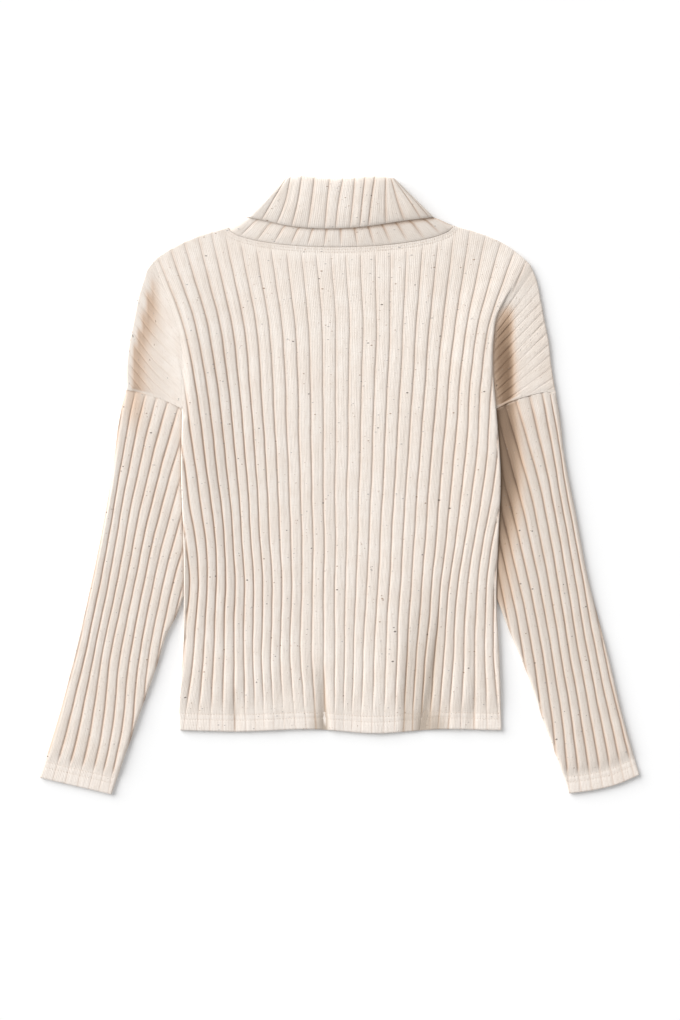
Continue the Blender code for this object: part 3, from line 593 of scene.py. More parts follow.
def shell(outline, lines, heights, under, rings, under_lines=()):
    """A closed shell: its points and faces, what is known of the upper face's points, and which of those each
    point up to the last ring takes after. heights(points, inward) gives the upper face's heights and what is
    known of it, and rings(rim, inward normal) the rings of points that lead from the rim round to the under
    face, whose heights are under(points)."""
    normals = inward_normals(outline)
    flat, faces = triangulate([outline] + [outline + EDGE_ROLL * d * normals for d in ROLL_DEPTHS[1:]], lines)
    rim = rim_of(faces)
    inward = np.maximum(signed(flat, outline), 0)
    inward[rim] = 0
    z, known = heights(flat, inward)
    points, made, source = [np.column_stack([flat, z])], [faces], [np.arange(len(flat))]
    last, count = rim, len(flat)
    for ring in rings(points[0][rim], inward_normals(flat[rim])):
        this = count + np.arange(len(rim))
        points.append(ring)
        made.append(halved(np.stack([last, this, np.roll(this, -1), np.roll(last, -1)], axis=1)))
        source.append(rim)
        last, count = this, count + len(rim)
    points[-1] = uncrossed(points[-1])
    floor_flat, floor_faces = triangulate([points[-1][:, :2]], under_lines)
    tree = tree_of(points[-1])
    _, closest, away = zip(*(tree.find((x, y, 0.0)) for x, y in floor_flat))
    new = np.array(away) >= SAME_PLACE
    points.append(np.column_stack([floor_flat[new], under(floor_flat[new])]))
    a, b, c = np.where(new, count + np.cumsum(new) - 1, last[list(closest)])[floor_faces].T
    made.append(np.stack([c, b, a], axis=1)[(a != b) & (b != c) & (a != c)])
    return np.concatenate(points), np.concatenate(made), known, np.concatenate(source)


# ---------------------------------------------------------------- back


class Back:
    """The ribbed back with its two caps."""

    def __init__(self):
        self.outline = body_outline(NECK_DROP_BACK)
        self.neck, self.hem = neck_curve(NECK_DROP_BACK), through(HEM)
        self.seams = np.concatenate([through(SEAM_LEFT), through(SEAM_RIGHT)])
        self.left_edge, self.right_edge = through(CAP_LEFT), through(CAP_RIGHT)
        self.areas = {
            "middle": (middle_outline(), Ribs(BACK_GROOVES, BACK_MARKED)),
            "left": (cap_outline("left", SEAM_LEFT, CAP_LEFT), Ribs(GROOVES_CAP_LEFT, CAP_MARKED, "x")),
            "right": (cap_outline("right", SEAM_RIGHT, CAP_RIGHT), Ribs(GROOVES_CAP_RIGHT, CAP_MARKED, "x")),
        }

    def from_fold(self, points):
        """How far inward each point is of the fold or side beside it, and whether that is the left one."""
        left = points[:, 0] - side_x("left", points[:, 1])
        right = side_x("right", points[:, 1]) - points[:, 0]
        return np.minimum(left, right), left < right

    def rise(self, inward, y):
        level = smooth(RISES.y, RISES.rise, np.clip(y, RISES.y[0], RISES.y[-1]))
        return level * (1 - ease((inward - RISE_START) / RISE_WIDTH))

    def depth(self, points):
        """The ribs' share of full height."""
        left, middle, right = (smooth(BACK_DEPTHS.y, shares, points[:, 1]) for shares in BACK_DEPTHS[1:])
        out = np.clip(points[:, 0] / DEPTH_ACROSS, -1, 1)
        return middle + np.maximum(out, 0) * (right - middle) + np.maximum(-out, 0) * (left - middle)

    def left_cap(self, points, inward):
        """Its height, how strong its ribs are, and how much it is shaded: a flat strip along its edge, a
        trough, and a slow climb."""
        y = points[:, 1]
        from_edge = distance(points, self.left_edge) + 3.5 * ease((190 - y) / 45)
        top = 1 - ease((y - 225) / 17)
        level = smooth(*LEFT_STRIP, np.clip(from_edge, 0, LEFT_STRIP.away[-1]))
        level = level + (LEFT_STRIP.level[0] - level) * (1 - top) * ease((from_edge - 4) / 4)
        fade = (0.12 + 0.88 * ease((from_edge - 8) / 4)) * (1 - 0.55 * ease((from_edge - 18) / 22))
        fade = fade * (1 - 0.8 * ease((inward + 20) / 16)) * (1 + 0.3 * wander(y / 14, 4))
        # Painted shade in the trough beside the strip, fading towards the body and the top
        tail = 1 - 0.62 * ease((from_edge - 16) / 16) - 0.38 * ease((from_edge - 28) / 28)
        return level, fade * 1.5, 0.60 * (ease((from_edge - 7.0) / 4.0) * tail) * top

    def right_cap(self, points, inward):
        """The same for a deep valley beside the fold, and past its steep far side the rounded rest of the cap."""
        x, y = points.T
        from_fold = np.maximum(-inward, 0)
        from_edge = distance(points, self.right_edge)
        away = x - VALLEY_EDGE - 0.8 * wander(y / 13, 3)
        wall, shut = ease((away + 5.0) / 15.0), ease((y - 188) / 20)
        floor = 4.7 - 0.4 * np.clip(from_fold / np.maximum(VALLEY_EDGE - side_x("right", y), 1.0), 0, 1)
        rest = 5.3 - 0.9 * bump(from_edge, 0, 9.0)
        low = floor + (rest - floor) * wall
        fade = 0.30 + 0.35 * ease((x - 200) / 25) * (1 - ease((y - 175) / 40)) + 0.45 * (1 - wall)
        fade = fade * (1 + 0.4 * wander(y / 17, 6))
        # Painted shadow of the fold over the valley, darkest near its far side and lighter just beside the fold,
        # with a little painted shade over the lower cap and along its edge
        soft = np.interp(y, (95, 160, 200), (25.0, 16.0, 12.0))
        deep = np.interp(y, (125, 150, 172, 190, 215), (1.0, 1.02, 0.98, 0.66, 0.42))
        deep = deep * (0.90 + 0.28 * bump(away, -4, 5) * ease((165 - y) / 40))
        shade = (1 - ease((away - 1.5 + soft / 2) / soft)) * (1 - shut) * deep + 0.06 * ease((190 - y) / 70)
        shade = shade * (1 - 0.45 * bump(from_fold, 0, 5)) + 0.10 * bump(from_edge, 2, 9.0)
        return low + (rest - low) * shut, fade, np.where(inward < 0, shade, 0)

    def heights(self, points, inward_edge):
        """The upper face's heights, and what is known of its points."""
        x, y = points.T
        inward, is_left = self.from_fold(points)
        number, left_number, right_number = (ribs.number(points) for _, ribs in self.areas.values())
        from_neck, from_hem, from_seam = (distance(points, line) for line in (self.neck, self.hem, self.seams))

        # The middle, whose ribs are weaker at the neck, at one place of the hem and beside the left fold
        share = self.depth(points) * (0.12 + 0.88 * ease((from_neck - 6) / 7))
        share = share * (1 - 0.6 * bump(x, -63, 20) * ease((-206 - y) / 30))
        fold_fade = np.where((y > UNDERARM_Y - 10) & is_left, 0.2 + 0.8 * ease(inward / 10), 1.0)
        uneven = 1 + 0.12 * wander(number.round() * 1.9 + y / 60, 3)
        flat, stepped = (np.interp(y, SECTIONS.y, shares) for shares in SECTIONS[1:])
        flat = flat * (1 - 0.7 * ease((np.abs(x) - 70) / 80))
        section = crest(number, flat, stepped)
        middle = BACK_GROOVE + self.rise(inward, y) + RIB * share * fold_fade * uneven * section

        # The caps, and where the middle lies over them
        caps = zip(self.left_cap(points, inward), self.right_cap(points, inward))
        level, fade, shade = (np.where(is_left, *pair) for pair in caps)
        cap_number = np.where(is_left, left_number, right_number)
        cap_share = CAP_RIB * fade * ease((from_seam - 1) / 5)
        cap = level + RIB * cap_share * crest(cap_number, 0.1)
        sharp, soft = quarter((inward + 0.4) / 2.4), ease((inward + 12) / 16)
        right_over = sharp + (soft - sharp) * ease((y - 202) / 18)
        left_over = ease((inward + 20) / 26)
        left_over += (1 - left_over) * (1 - ease((y - UNDERARM_Y) / 14)) * (inward >= 0)
        over = np.where(y > UNDERARM_Y, np.where(is_left, left_over, right_over), 1.0)

        # All of it, with creases, sewn rows and the right seam's ridge, down to the rolled edge
        crease_drop, crease_shade = creases(points)
        full = cap + (middle - cap) * over + crease_drop
        full -= row_troughs(from_hem) + row_troughs(from_neck, NECK_ROWS)
        full += 0.30 * bump(from_seam, 2.0, 1.2) * (x > 0) * (x < 200) * (y < 120)
        edge_share = 0.42 + 0.52 * bump(np.minimum(from_neck, from_seam), 0, 3.0)
        edge = BACK_UNDER + edge_share * (full - BACK_UNDER)
        z = edge + (full - edge) * quarter(inward_edge / EDGE_ROLL)

        # What the material reads, as painted shade: in the grooves, stronger towards the sides and in creases, and
        # in fine lines on the hem's band; the folds' shadow on the caps, lighter along the seams; and dull shade
        # in creases and over the right side. The hem's band itself is paler
        on_cap = (y > UNDERARM_Y) & (inward < 0)
        band = 1 - ease((from_hem - 14) / 9)
        groove_shade_strength = 0.75 + 0.17 * ease((np.abs(x) - 60) / 80) + 0.22 * ease((-x - 60) / 80)
        groove_shade_strength = groove_shade_strength * (1 - 0.35 * ease((-130 - y) / 60))
        lines = furrow_of(number, 0.10, 0.022) * (np.clip(share * 1.2, 0, 1.2) * groove_shade_strength)
        lines += band * (0.5 * furrow_of(number, 0.06) + 0.3 * furrow_of(2 * number)
                         + 0.2 * furrow_of(4 * number + 0.3))
        groove = furrow_of(cap_number) * cap_share * (1 - over) * 0.7 + lines * fold_fade * over
        groove += furrow_of(number) * np.clip(crease_shade * 2.2, 0, 0.7) * over
        shade = np.where(y > UNDERARM_Y, shade * (1 - over) * (1 - 0.55 * bump(from_seam, 1.6, 1.3)), 0.0)
        shade += 0.85 * furrow_of(number, 0.11) * np.clip(crease_shade * 2 - 0.15, 0, 1) * over
        cap_line_shade = furrow_of(cap_number, 0.16) + 0.5 * furrow_of(2 * cap_number, 0.3)
        shade += 0.14 * shade * cap_line_shade * (1 - over) * (x > 0)
        dull = crease_shade * (1 + 0.6 * band) + 0.08 * ease((x - 60) / 60)
        dull -= 0.38 * band * np.clip(1 - 2.5 * crease_shade, 0, 1)
        known = {"rib": np.where(on_cap, cap_number + np.where(is_left, 60, 80), number),
                 "along": np.where(on_cap, x * 1.2, y), "groove": groove, "shade": shade, "dull": dull}
        return z, known

    def under(self, points):
        inward, _ = self.from_fold(points)
        return BACK_UNDER + np.where(inward > 2.4, self.rise(inward, points[:, 1]), 0.0)

    def fold_lines(self, offsets, low, margin=2.0):
        """Lines for the mesh beside the folds, at offsets inward of them, from a height up."""
        return [part for which, way in (("left", 1), ("right", -1)) for offset in offsets
                for part in clipped(side_curve(which, low, SIDES.y[-1], way * offset), self.outline, margin)]

    def build(self):
        lines = self.fold_lines((-2.0, -1.2, -0.4, -0.25, 0.1, 0.7, 1.5, 2.6), UNDERARM_Y)
        valley = np.stack([np.full(30, VALLEY_EDGE), np.linspace(60, 215, 30)], axis=-1)
        for offset in (-1.0, 0.2, 1.2, 2.2, 3.2):
            lines += clipped(valley + (offset, 0), self.areas["right"][0], RIB_MARGIN)
        for name, (area, ribs) in self.areas.items():
            lines += ribs.lines(area, MIDDLE_MARGIN if name == "middle" else RIB_MARGIN)
        lines += row_lines(self.hem, self.outline, STITCH_ROWS)
        for seam, way in ((SEAM_LEFT[::-1], -1), (SEAM_RIGHT, 1)):
            for away in (2.3, 3.1, 4.2):
                lines += clipped(beside(through(seam), way * away), self.outline, NECK_MARGIN)
        lines += row_lines(self.neck, self.outline, NECK_ROWS, NECK_MARGIN)
        under = self.fold_lines((0.5, 5.0, RISE_START + RISE_WIDTH / 2, RISE_START + RISE_WIDTH), RISES.y[0], 3.0)
        return shell(self.outline, lines, self.heights, self.under, rolled_to(BACK_UNDER), under)


# The left cap's height at a distance from its edge
LEFT_STRIP = columns(
    "away level",
    (0, 5.4), (3, 5.5), (8.5, 5.6), (11.5, 5.1), (15, 4.4), (19, 4.2), (27, 4.4), (38, 4.8), (60, 5.3),
)
VALLEY_EDGE = 189.8  # the straight far side of the valley between the right fold and its cap
CAP_RIB = 0.36  # the caps' ribs, as a share of full height

CREASE_STEP = 4.0  # between points along a crease's line
# Each crease's line, width, depth, or height where it is less than 0, and shade
CREASES = (
    (((-20, -205), (-17, -245), (-12, -310)), 4.5, 1.7, 0.45),
    (((-27, -195), (-25, -245), (-21, -310)), 9.0, 0.3, 0.22), (((-8, -228), (-5, -280)), 7.0, -0.7, 0.0),
    (((-114, -226), (-114, -272)), 6.0, 1.1, 0.20), (((112, -140), (101, -215), (80, -330)), 5.0, 1.3, 0.35),
    (((78, -160), (74, -225), (66, -330)), 5.0, 0.8, 0.25),
    (((96, -130), (92, -215), (89, -350)), 19.0, 1.0, 0.40),
    (((110, -250), (109, -285), (108, -320)), 12.0, 0.3, 0.34),
    (((-24, -252), (-22, -285), (-20, -320)), 9.0, 0.5, 0.24),
    (((150, -225), (146, -250), (143, -280)), 5.0, 0.9, 0.18),
    (((-160, -60), (-166, -130), (-171, -190)), 8.0, 0.8, 0.15), (((-78, -236), (-74, -280)), 8.0, -0.7, 0.0),
    (((34, -232), (38, -280)), 11.0, -0.7, 0.0), (((128, -225), (124, -280)), 7.0, -0.6, 0.0),
)


def creases(points):
    """Soft troughs and ridges, fading to nothing at both ends, and how much shade lies in the troughs."""
    total, shade = np.zeros(len(points)), np.zeros(len(points))
    for knots, width, depth, darkness in CREASES:
        line = through(knots, CREASE_STEP)
        along = nearest(points, line) / (len(line) - 1)
        fade = np.sin(np.pi * np.clip(along * 0.9 + 0.05, 0, 1)) ** 0.6
        here = fade * np.exp(-((distance(points, line) / width) ** 2))
        total -= depth * here
        shade += darkness * here
    return total, shade


# ---------------------------------------------------------------- front


def build_front():
    def heights(points, inward):
        return FRONT_RIM + (FRONT_TOP - FRONT_RIM) * quarter(inward / EDGE_ROLL), {}

    return shell(body_outline(NECK_DROP_FRONT), [], heights, on_floor, rolled_to(0.0))


# ---------------------------------------------------------------- sleeves


def sleeve_outline(which, outer, inner, cuff, seam):
    """Anticlockwise. The hidden part of the inner edge runs along the back's side."""
    away = -1 if which == "left" else 1
    seam, cuff = through(seam) - (0, SEAM_GAP), through(cuff)
    hidden = side_curve(which, inner[0][1], UNDERARM_Y - SEAM_GAP, away * SEAM_GAP)
    seam[-1 if which == "left" else 0] = hidden[-1]
    inner = through((tuple(hidden[0]),) + inner[1:], LONG_EDGE)
    corner = tuple(seam[0 if which == "left" else -1])
    outer = through(outer[:-1] + (corner,), LONG_EDGE)
    if which == "left":
        return chain(seam, hidden[::-1], inner, cuff, outer)[::-1]
    return chain(seam, outer[::-1], cuff[::-1], inner[::-1], hidden)[::-1]


# A ring round the rim leads from the upper layer to the lower: how far in and how high, at the open cuff
# and elsewhere. Between the second and the third, the cuff opens into the hollow.
CUFF_RINGS = ((0.35, 2.9), (1.3, 2.6), (1.3, 1.5), (0.35, 1.3), (0.0, 0.9), (0.4, 0.25), (1.3, 0.0))
SIDE_RINGS = ((0.03, 2.1), (0.12, 1.75), (0.22, 1.45), (0.45, 1.05), (0.8, 0.68), (1.5, 0.28), (2.8, 0.0))
HOLLOW_INSET, HOLLOW_END, HOLLOW_ROWS = 3.0, 4.0, 44
MOUTH_WIDTH = 0.8  # how far from the cuff's line its rim still opens
LAID_DROP = 1.3  # how far the right sleeve is pressed down where it is fully in the body's shadow

# What differs between the sleeves: their ribs' share of full height and the lean of their furrows' painted shade,
# how much painted dull shade lies over the cloth, the first rib's number in the knit, and a seed
Look = namedtuple("Look", "rib lean dull first seed")
LOOKS = {"left": Look(0.86, 0.03, 0.0, 100, 5), "right": Look(1.05, -0.03, 0.2, 120, 8)}

# The shade that the body throws on the right sleeve beside it: how far it reaches, how softly it ends
# and how strong it is
SHADOWS = columns(
    "y edge soft strength",
    (-160, 187.0, 32.0, 0.0), (-126, 187.0, 32.0, 0.50), (-82, 188.0, 33.0, 0.64), (-60, 190.0, 34.0, 0.74),
    (-38, 194.0, 32.0, 0.82), (-16, 196.0, 28.0, 0.88), (6, 198.0, 26.0, 0.92), (28, 197.5, 27.0, 0.94),
    (50, 196.0, 25.0, 0.96), (66, 194.5, 21.0, 0.97), (80, 192.5, 18.0, 0.98), (110, 191.0, 17.0, 0.98),
)


def body_shadow(points):
    x, y = points.T
    edge, soft, strength = (np.interp(y, SHADOWS.y, values) for values in SHADOWS[1:])
    tail = 0.16 * strength * (1 - ease((x - edge) / 45))
    return strength * (1 - ease((x - edge + soft / 2) / soft)) + tail


class Sleeve:
    """One sleeve: a flattened tube, open at the cuff, that runs from there to the seam."""

    def __init__(self, which, outer, inner, cuff, seam, levels):
        self.right, self.look = which == "right", LOOKS[which]
        self.outline = sleeve_outline(which, outer, inner, cuff, seam)
        self.ribs = Ribs(levels, SLEEVE_MARKED)
        self.cuff, self.seam = through(cuff), through(seam)
        hidden = side_curve(which, inner[0][1], UNDERARM_Y)
        self.sides = through(outer, LONG_EDGE), np.concatenate([through(inner, LONG_EDGE)[:0:-1], hidden])
        start, end = np.mean(self.seam, axis=0), np.mean(self.cuff, axis=0)
        self.axis = (start - end) / np.hypot(*(start - end))

    def heights(self, points, inward):
        """The upper face's heights, and what is known of its points."""
        from_cuff, from_seam = distance(points, self.cuff), distance(points, self.seam)
        number, look = self.ribs.number(points), self.look
        band = 1 - ease((from_cuff - CUFF_FLAT + 4) / CUFF_FADE)
        share = CUFF_SHARE + (1 - CUFF_SHARE) * ease((from_cuff - CUFF_FLAT) / CUFF_FADE)
        share = share * (0.55 + 0.45 * ease(from_seam / 25)) * look.rib
        share = share * (1 + 0.1 * wander(number.round() * 2.3 + points[:, 1] / 55, look.seed))
        full = SLEEVE_GROOVE + RIB * share * crest(number, 0.15, 0.0, self.right) - row_troughs(from_cuff)
        if self.right:
            # Painted shadow of the body on the sleeve beside it, which also presses the cloth down, darker in the
            # grooves and lighter at the seam
            shade = body_shadow(points)
            full -= LAID_DROP * shade
            shade += 0.4 * shade * furrow_of(number, 0.16)
            shade *= 1 - 0.4 * bump(from_seam, 1.0, 1.0)
        else:
            # Painted shade, a little all over and more below the left cap's trough
            shade = 0.05 + 0.45 * bump(points[:, 0], -225, 13) * (1 - ease((from_seam - 8) / 60))
        by_seam, by_end = bump(from_seam, 0, 4.0), bump(from_cuff, 0, 6.0) + bump(from_seam, 0, 6.0)
        roll = FOLD_ROLL + (EDGE_ROLL - FOLD_ROLL) * np.clip(by_end, 0, 1)
        low = 2.5 + 0.8 * np.clip(by_end, 0, 1)
        low = low + by_seam * 0.9 * (full - low)
        # Painted shade in the grooves and in fine lines on the cuff's band. Below, a painted dull shade over the
        # whole right sleeve, and a paler tone on the band
        groove = furrow_of(number, 0.115, look.lean) * np.clip(1.35 * share, 0, 1.25)
        groove += band * (0.4 * furrow_of(number, 0.06) + 0.25 * furrow_of(2 * number + 0.1)
                          + 0.26 * furrow_of(4 * number + 0.4))
        known = {"rib": number + look.first, "along": points @ self.axis, "groove": groove, "shade": shade,
                 "dull": look.dull - 0.32 * band}
        return low + (full - low) * quarter(inward / roll), known

    def rings(self, rim, inward):
        flat = rim[:, :2]
        self.open_rim = distance(flat, self.cuff) < MOUTH_WIDTH
        for ring in zip(CUFF_RINGS, SIDE_RINGS):
            by_cuff, by_side = (np.column_stack([flat + away * inward, np.full(len(flat), z)]) for away, z in ring)
            yield np.where(self.open_rim[:, None], by_cuff, by_side)

    def hollow(self, ceiling, floor):
        """Rows of points for the hollow's ceiling and floor, from the cuff's own two rows up the sleeve."""
        shares = np.linspace(0, 1, HOLLOW_ROWS + 1)[1:]
        paths = []
        for side in sorted(self.sides, key=lambda side: np.hypot(*(side[0] - ceiling[0, :2]))):
            run = run_of(side)
            at = (run[-1] - HOLLOW_END) * shares
            paths.append(np.stack([np.interp(at, run, side[:, i]) for i in (0, 1)], axis=-1))
        across = paths[1] - paths[0]
        across *= HOLLOW_INSET / np.hypot(*across.T)[:, None]
        u = np.linspace(0, 1, len(ceiling))[:, None]
        bow = ceiling[:, :2] - (ceiling[0, :2] + (ceiling[-1, :2] - ceiling[0, :2]) * u)
        rows = []
        for a, b, share in zip(paths[0] + across, paths[1] - across, shares):
            flat = a + (b - a) * u + bow * max(0.0, 1 - share * 10)
            for z, level in zip((floor[:, 2], ceiling[:, 2]), SLEEVE_HOLLOW):
                rows.append(np.column_stack([flat, z + (level - z) * min(1.0, share * 12)]))
        return np.reshape(rows, (HOLLOW_ROWS, 2, -1, 3))

    def build(self):
        lines = self.ribs.lines(self.outline, RIB_MARGIN)
        for edge in (self.cuff, self.cuff[::-1]):
            lines += row_lines(edge, self.outline, STITCH_ROWS)
        points, faces, known, source = shell(self.outline, lines, self.heights, on_floor, self.rings)

        # Open the cuff: its faces between the second and the third ring go, and the hollow takes their place
        mouth = np.flatnonzero(self.open_rim)
        gap = np.flatnonzero(np.diff(mouth) > 1)
        if len(gap):
            mouth = np.roll(mouth, -gap[0] - 1)
        upper, lower = (len(known["rib"]) + ring * len(self.open_rim) + mouth for ring in (1, 2))
        layer = np.zeros(len(points), int)
        layer[upper], layer[lower] = 1, 2
        layer = layer[faces]
        faces = faces[(layer.min(axis=1) != 1) | (layer.max(axis=1) != 2)]
        rows = self.hollow(points[upper], points[lower])
        index = len(points) + np.arange(rows[..., 0].size).reshape(rows.shape[:3])
        floors, ceilings = np.vstack([[lower], index[:, 0]]), np.vstack([[upper], index[:, 1]])
        made = [strip(a, b) for a, b in zip(ceilings, ceilings[1:])]
        made += [strip(a[::-1], b[::-1]) for a, b in zip(floors, floors[1:])]
        made += [strip(ceilings[:, 0], floors[:, 0]), strip(ceilings[::-1, -1], floors[::-1, -1]),
                 strip(ceilings[-1], floors[-1])]
        points = np.concatenate([points, rows.reshape(-1, 3)])
        return points, np.concatenate([faces, halved(np.concatenate(made))]), known, source


# ---------------------------------------------------------------- collar


def on_line(points, share):
    points = np.asarray(points, float)
    x = points[0, 0] + (points[-1, 0] - points[0, 0]) * np.asarray(share, float)
    return np.stack([x, smooth(points[:, 0], points[:, 1], x)], axis=-1)


Ring = namedtuple("Ring", "part drop front_drop inset back_z front_z rib")
COLLAR = [Ring(part, *row) for part, rows in (
    ("stand", (
        (1.00, 1.00, 0.6, 2.5, 0.1, 0.0), (1.00, 1.00, 0.1, 3.6, 0.0, 0.0), (0.98, 0.99, 0.0, 4.2, 0.0, 0.02),
        (0.93, 0.95, 0.0, 4.5, 0.0, 0.08), (0.85, 0.88, 0.0, 4.65, 0.0, 0.20),
        (0.70, 0.70, 0.0, 4.8, 0.0, 0.38), (0.50, 0.45, 0.0, 4.9, 0.0, 0.50),
        (0.36, 0.30, 0.0, 4.95, 0.0, 0.55), (0.24, 0.20, 0.0, 4.95, 0.0, 0.58),
        (0.12, 0.09, 0.8, 4.95, 0.8, 0.45), (0.03, 0.02, 2.3, 5.3, 2.3, 0.20),
    )),
    ("flap", (
        (0.12, 0.12, 2.3, 6.2, 2.3, 0.0), (0.10, 0.10, 2.0, 6.5, 2.0, 0.0), (0.60, 0.60, 2.0, 6.5, 2.0, 0.0),
        (0.98, 0.98, 2.0, 6.1, 2.0, 0.0), (1.00, 1.00, 1.2, 6.2, 1.2, 0.02),
        (1.015, 1.015, 0.4, 6.5, 0.4, 0.05), (1.018, 1.018, 0.0, 6.95, 0.0, 0.12),
        (1.008, 1.008, 0.0, 7.45, 0.0, 0.22), (0.985, 0.985, 0.0, 7.9, 0.0, 0.34),
        (0.94, 0.94, 0.0, 8.3, 0.0, 0.46), (0.85, 0.85, 0.0, 8.7, 0.0, 0.55),
        (0.74, 0.74, 0.0, 8.95, 0.0, 0.58), (0.62, 0.62, 0.0, 9.1, 0.0, 0.58),
        (0.50, 0.50, 0.0, 9.1, 0.0, 0.58), (0.38, 0.38, 0.0, 9.1, 0.0, 0.58), (0.26, 0.26, 0.0, 9.1, 0.0, 0.58),
        (0.16, 0.16, 0.0, 9.0, 0.0, 0.58), (0.09, 0.09, 0.0, 8.8, 0.0, 0.55),
        (0.045, 0.045, 0.0, 8.3, 0.2, 0.50), (0.018, 0.018, 0.0, 7.7, 0.9, 0.45),
        (0.00, 0.00, 0.2, 6.6, 2.0, 0.35), (0.00, 0.00, 0.8, 5.6, 3.4, 0.20), (0.03, 0.03, 3.0, 4.9, 4.2, 0.0),
        (1.00, 1.00, 4.3, 4.9, 4.2, 0.0),
    )),
    ("stand", (
        (0.32, 0.16, 2.6, 3.9, 2.0, 0.0), (0.97, 0.99, 2.0, 2.4, 2.0, 0.0),
    )),
) for row in rows]
FRONT_STATIONS = (0.001, 0.004, 0.008, 0.014, 0.022, 0.035, 0.06, 0.1, 0.16, 0.24, 0.34, 0.44, 0.5, 0.56, 0.66,
                  0.76, 0.84, 0.9, 0.94, 0.965, 0.978, 0.986, 0.992, 0.996, 0.999)
END_STATION = 0.012  # between the collar's folded ends and the first line beside them
PRESSED = 0.8  # how far the flap's left end lies lower at its edge


def between(upper, lower, drop):
    return upper * (1 - drop) + lower * drop


def build_collar():
    count = len(FLAP_GROOVES.fold) + 1
    whole = np.arange(count + 1)
    inner = (whole[:-1, None] + PHASES).ravel()[1:]
    stations = np.concatenate([[0, END_STATION], inner, [count - END_STATION, count]])
    front = np.array(FRONT_STATIONS[::-1])
    even = np.interp(stations, whole, [0, *(FIRST_STAND_GROOVE + STAND_PITCH * np.arange(count - 1)), 1])
    reach = stations / count
    pressed = 1 - ease(reach / 0.5)
    points = []
    known = {label: np.zeros((len(COLLAR), len(stations) + len(front))) for label in LABELS}
    behind = slice(len(stations))
    # Painted dull shade over the flap's right part
    known["dull"][:, behind] = 0.16 * ease((reach - 0.45) / 0.35)
    for i, ring in enumerate(COLLAR):
        flap = ring.part == "flap"
        uneven = 1 + 0.2 * wander(stations.round() * 2.1 + ring.drop * 2, 4)
        down = 0.0
        if flap:
            taper = np.clip(np.minimum(stations, count - stations) / 1.5, 0, 1)
            taper = taper * np.sin(math.pi * min(ring.drop, 1))
            at = stations + 0.17 * taper * wander(stations * 1.1, 7)
            fold, edge = (np.interp(at, whole, [0, *grooves, 1]) for grooves in FLAP_GROOVES)
            back_line = between(on_line(FOLD_LINE, fold), on_line(FLAP_EDGE, edge), ring.drop)
            front_line = between(on_line(FOLD_LINE, front), on_line(FLAP_EDGE, front), ring.front_drop)
            if ring.back_z > 5:
                down = PRESSED * pressed * ease((ring.drop - 0.5) / 0.5)
            known["along"][i] = 55 * ring.drop
        else:
            back_line = between(on_line(FLAP_EDGE, even), neckline(NECK_DROP_BACK, even), ring.drop)
            front_line = between(on_line(FLAP_EDGE, front), neckline(NECK_DROP_FRONT, front), ring.front_drop)
            uneven = uneven * (1 - 0.65 * pressed * (ring.drop < 0.4))
            known["along"][i] = 24 * ring.drop + 60
            # Painted shade on the stand under the flap's edge, stronger to the right, and in its grooves near the
            # flap
            under = (0.02 + 0.5 * reach) * (1 - ease((ring.drop - 0.08) / (0.06 + 0.2 * reach)))
            known["shade"][i, behind] = under + 0.3 * furrow_of(stations) * (1 - ease(ring.drop / 0.8))
        known["rib"][i] = *(stations + (140 if flap else 160)), *(front * 14 + 180)
        # Painted shade in the grooves, stronger to the right
        known["groove"][i, behind] = furrow_of(stations, 0.1, 0.025) * ring.rib * (0.7 + 1.2 * reach)
        middle, half = (back_line[0, 0] + back_line[-1, 0]) / 2, (back_line[-1, 0] - back_line[0, 0]) / 2
        narrow = (half - ring.inset) / half
        levels = ring.back_z - down + RIB * ring.rib * crest(stations, 0.2, 0.35 if flap else 0.2) * uneven
        levels = np.concatenate([levels, np.full(len(front), ring.front_z)])
        flat = np.concatenate([back_line, front_line])
        flat[:, 0] = middle + (flat[:, 0] - middle) * narrow
        from_end = np.maximum(0.0, half * narrow - np.abs(flat[:, 0] - middle)) / COLLAR_ROLL
        centre = (ring.back_z + ring.front_z) / 2
        points.append(np.column_stack([flat, centre + (levels - centre) * quarter(from_end)]))
    ring = np.arange(known["rib"].size).reshape(known["rib"].shape)
    after = np.roll(ring, -1, axis=0)
    faces = np.stack([ring, np.roll(ring, -1, axis=1), np.roll(after, -1, axis=1), after], axis=-1)
    known = {label: values.ravel() for label, values in known.items()}
    return np.concatenate(points), faces.reshape(-1, 4), known, ring.ravel()


# ---------------------------------------------------------------- the knit's material


def fill(node, values):
    """Give each of the node's inputs, by its number or name, a value or another node's output."""
    for key, value in values.items() if isinstance(values, dict) else enumerate(values):
        if isinstance(value, Wire):
            node.id_data.links.new(value.socket, node.inputs[key])
        else:
            node.inputs[key].default_value = value


def new_node(tree, kind, values=(), output=0, **settings):
    node = tree.nodes.new("ShaderNode" + kind)
    for name, value in settings.items():
        setattr(node, name, value)
    fill(node, values)
    return Wire(node.outputs[output])


